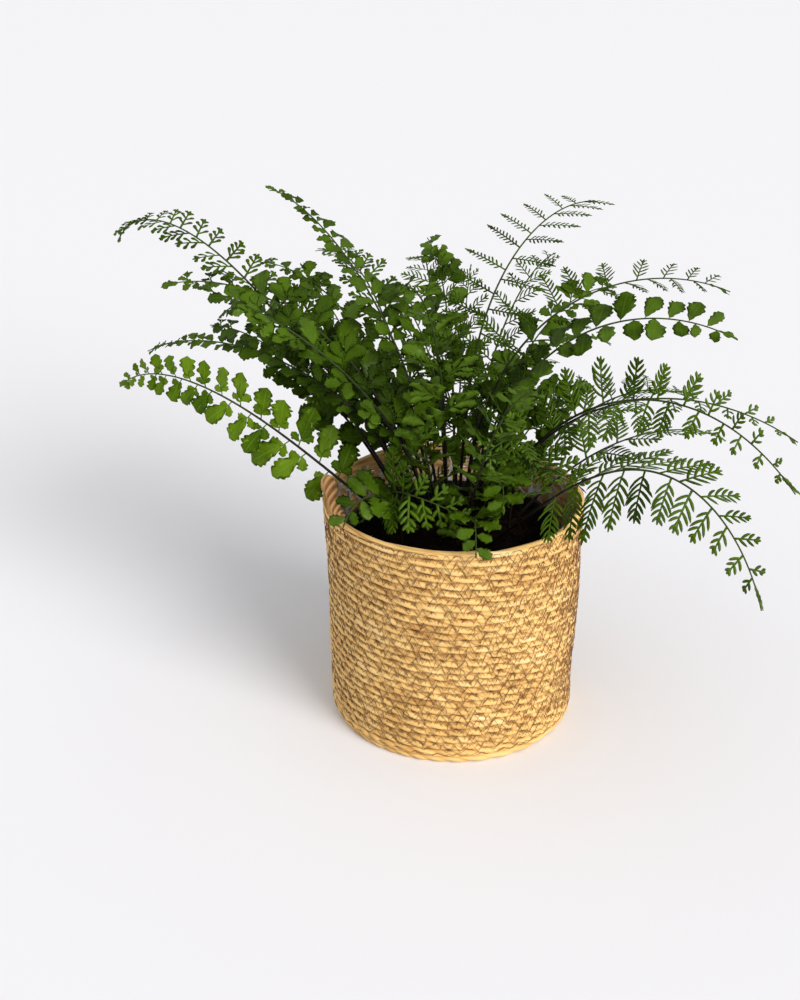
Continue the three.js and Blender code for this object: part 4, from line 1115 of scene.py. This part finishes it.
def stalk_scales(draft, frond, luck):
    """Papery scales on the lowest fifth of a stalk, nearly along it."""
    count = STALK_SCALES
    t = luck.uniform(0, 0.2, count) * luck.uniform(0.2, 1, count)
    ahead, normal, side = frond.directions(t)
    a = luck.uniform(0, 2 * np.pi, count)[:, None]
    out = normal * np.cos(a) + side * np.sin(a)
    root = frond.at(t) + out * (frond.thickness(t)[:, None] * 0.9)
    axis = unit(ahead + out * luck.uniform(0.25, 0.9, (count, 1)))
    length = luck.uniform(1.6, 3.4, count)
    flat = unit(np.cross(axis, out))
    scales = papery(root, axis, flat, length, (0.35, 0.28, 0.03), (0.08, 0.07, 0.02), 0)
    tone = luck.uniform(0.2, 1, count)[:, None, None]
    draft.add(scales, ring_faces(count, 3, 4), marks(0, 0, tone), kind=2)


def lay(draft, patches, place, length, tones):
    """Adds a leaflet's patches in their place, each with its tone."""
    for (points, faces, along, across), tone in zip(patches, tones):
        mark = marks(along + 0 * points[..., 0], across, tone)
        draft.add(set_out(points, place, length), faces, mark, kind=1)


def grow(frond):
    """One frond: stalk, leaflets right and left in turn, and an end leaflet."""
    luck = np.random.default_rng(100 + frond.number)
    draft = Draft()
    stalk(draft, frond)
    count = frond.leaflet_count()
    for j in range(count):
        x = (j + 0.5 + 0.25 * luck.uniform(-1, 1)) / count
        u = x * (1 + CROWDING * (1 - x))
        t = mix(frond.start, BLADE_END, u)
        full = float(envelope(u, frond.own.last))
        length = frond.half * full * (1 + 0.14 * frond.own.loose * luck.uniform(-1, 1))
        near, place, points = roomiest(frond, j, count, t, length, luck)
        if near < TIGHT:
            length *= SHORTER
            if near < TOO_TIGHT:
                continue
        ROOM.take(points, frond.number)
        tone = np.clip(0.42 + 0.3 * luck.uniform(-1, 1) + 0.28 * u, 0, 1)
        patches = leaflet(frond.kind, length, luck)
        lay(draft, patches, place, length, [tone + 0.1 * luck.uniform(-1, 1) for _ in patches])
    end = BLADE_END - 0.01
    ahead, normal, _ = frond.directions(end)
    length = TIP_SHARE * frond.length
    tip = toothed_leaflet(length, luck, 0.07 if frond.kind in LOBES else 0.17, 0.0)
    lay(draft, tip, (frond.at(end), ahead, np.cross(normal, ahead), normal), length, [0.75])
    stalk_scales(draft, frond, luck)
    name = "frond_%02d" % frond.number
    draft.piece("leafy_" + name, [name], frond.own.slot, frond.own.stalk, frond.own.blade, SCALES_DARKENED_AS_SHADE)


# ---- the studio ----
def studio():
    """A pale floor, and soft light from the front right, from above and from all round."""
    mesh = bpy.data.meshes.new("floor")
    mesh.from_pydata([(-6, -6, 0), (6, -6, 0), (6, 6, 0), (-6, 6, 0)], [], [(0, 1, 2, 3)])
    floor = bpy.data.objects.new("floor", mesh)
    bpy.context.scene.collection.objects.link(floor)
    material, _, _ = finish("pale_floor", Base_Color=(0.83, 0.83, 0.86, 1), Roughness=0.9)
    mesh.materials.append(material)
    world = bpy.data.worlds.new("studio")
    world.use_nodes = True
    world.node_tree.nodes["Background"].inputs["Color"].default_value = (0.98, 0.985, 1.0, 1)
    world.node_tree.nodes["Background"].inputs["Strength"].default_value = 0.46
    bpy.context.scene.world = world
    for name, heading, power, softness, colour in (
        ("window", (-0.62, 0.68, -0.48), 3.05, 0.6, (1.0, 0.975, 0.94)),
        ("daylight", (0.25, 0.2, -1.0), 0.7, 1.4, (1.0, 1.0, 1.0)),
    ):
        light = bpy.data.lights.new(name, "SUN")
        light.energy = power
        light.angle = softness
        light.color = colour
        lamp = bpy.data.objects.new(name, light)
        bpy.context.scene.collection.objects.link(lamp)
        lamp.rotation_euler = Vector(heading).to_track_quat("-Z", "Y").to_euler()
    bpy.context.scene.view_settings.view_transform = "Standard"


CAMERA_PLACE = (0.0, -0.85913, 0.55884)
CAMERA_PITCH = 0.4492  # radians below level
CAMERA_YAW = -0.0395
CAMERA_LENS = 54.6


def camera():
    """The camera of the photograph's view."""
    data = bpy.data.cameras.new("camera")
    data.lens = CAMERA_LENS
    data.sensor_width = 36
    data.clip_start = 0.01
    made = bpy.data.objects.new("camera", data)
    bpy.context.scene.collection.objects.link(made)
    made.location = CAMERA_PLACE
    made.rotation_euler = (np.pi / 2 - CAMERA_PITCH, 0, -CAMERA_YAW)
    bpy.context.scene.camera = made


camera()
studio()
stitching(*basket_coil())
rope_handle()
film()
nursery_pot()
soil()
crown()
for radius, height in RIM_RINGS:
    ROOM.take(polar(radius, np.arange(0, 360, 2.0), height), 0)
grown = [Frond(row, i + 1) for i, row in enumerate(FRONDS)]
for frond in grown:
    ROOM.take(frond.at(np.linspace(0.02, 1, 50)), frond.number)
for frond in grown:
    grow(frond)
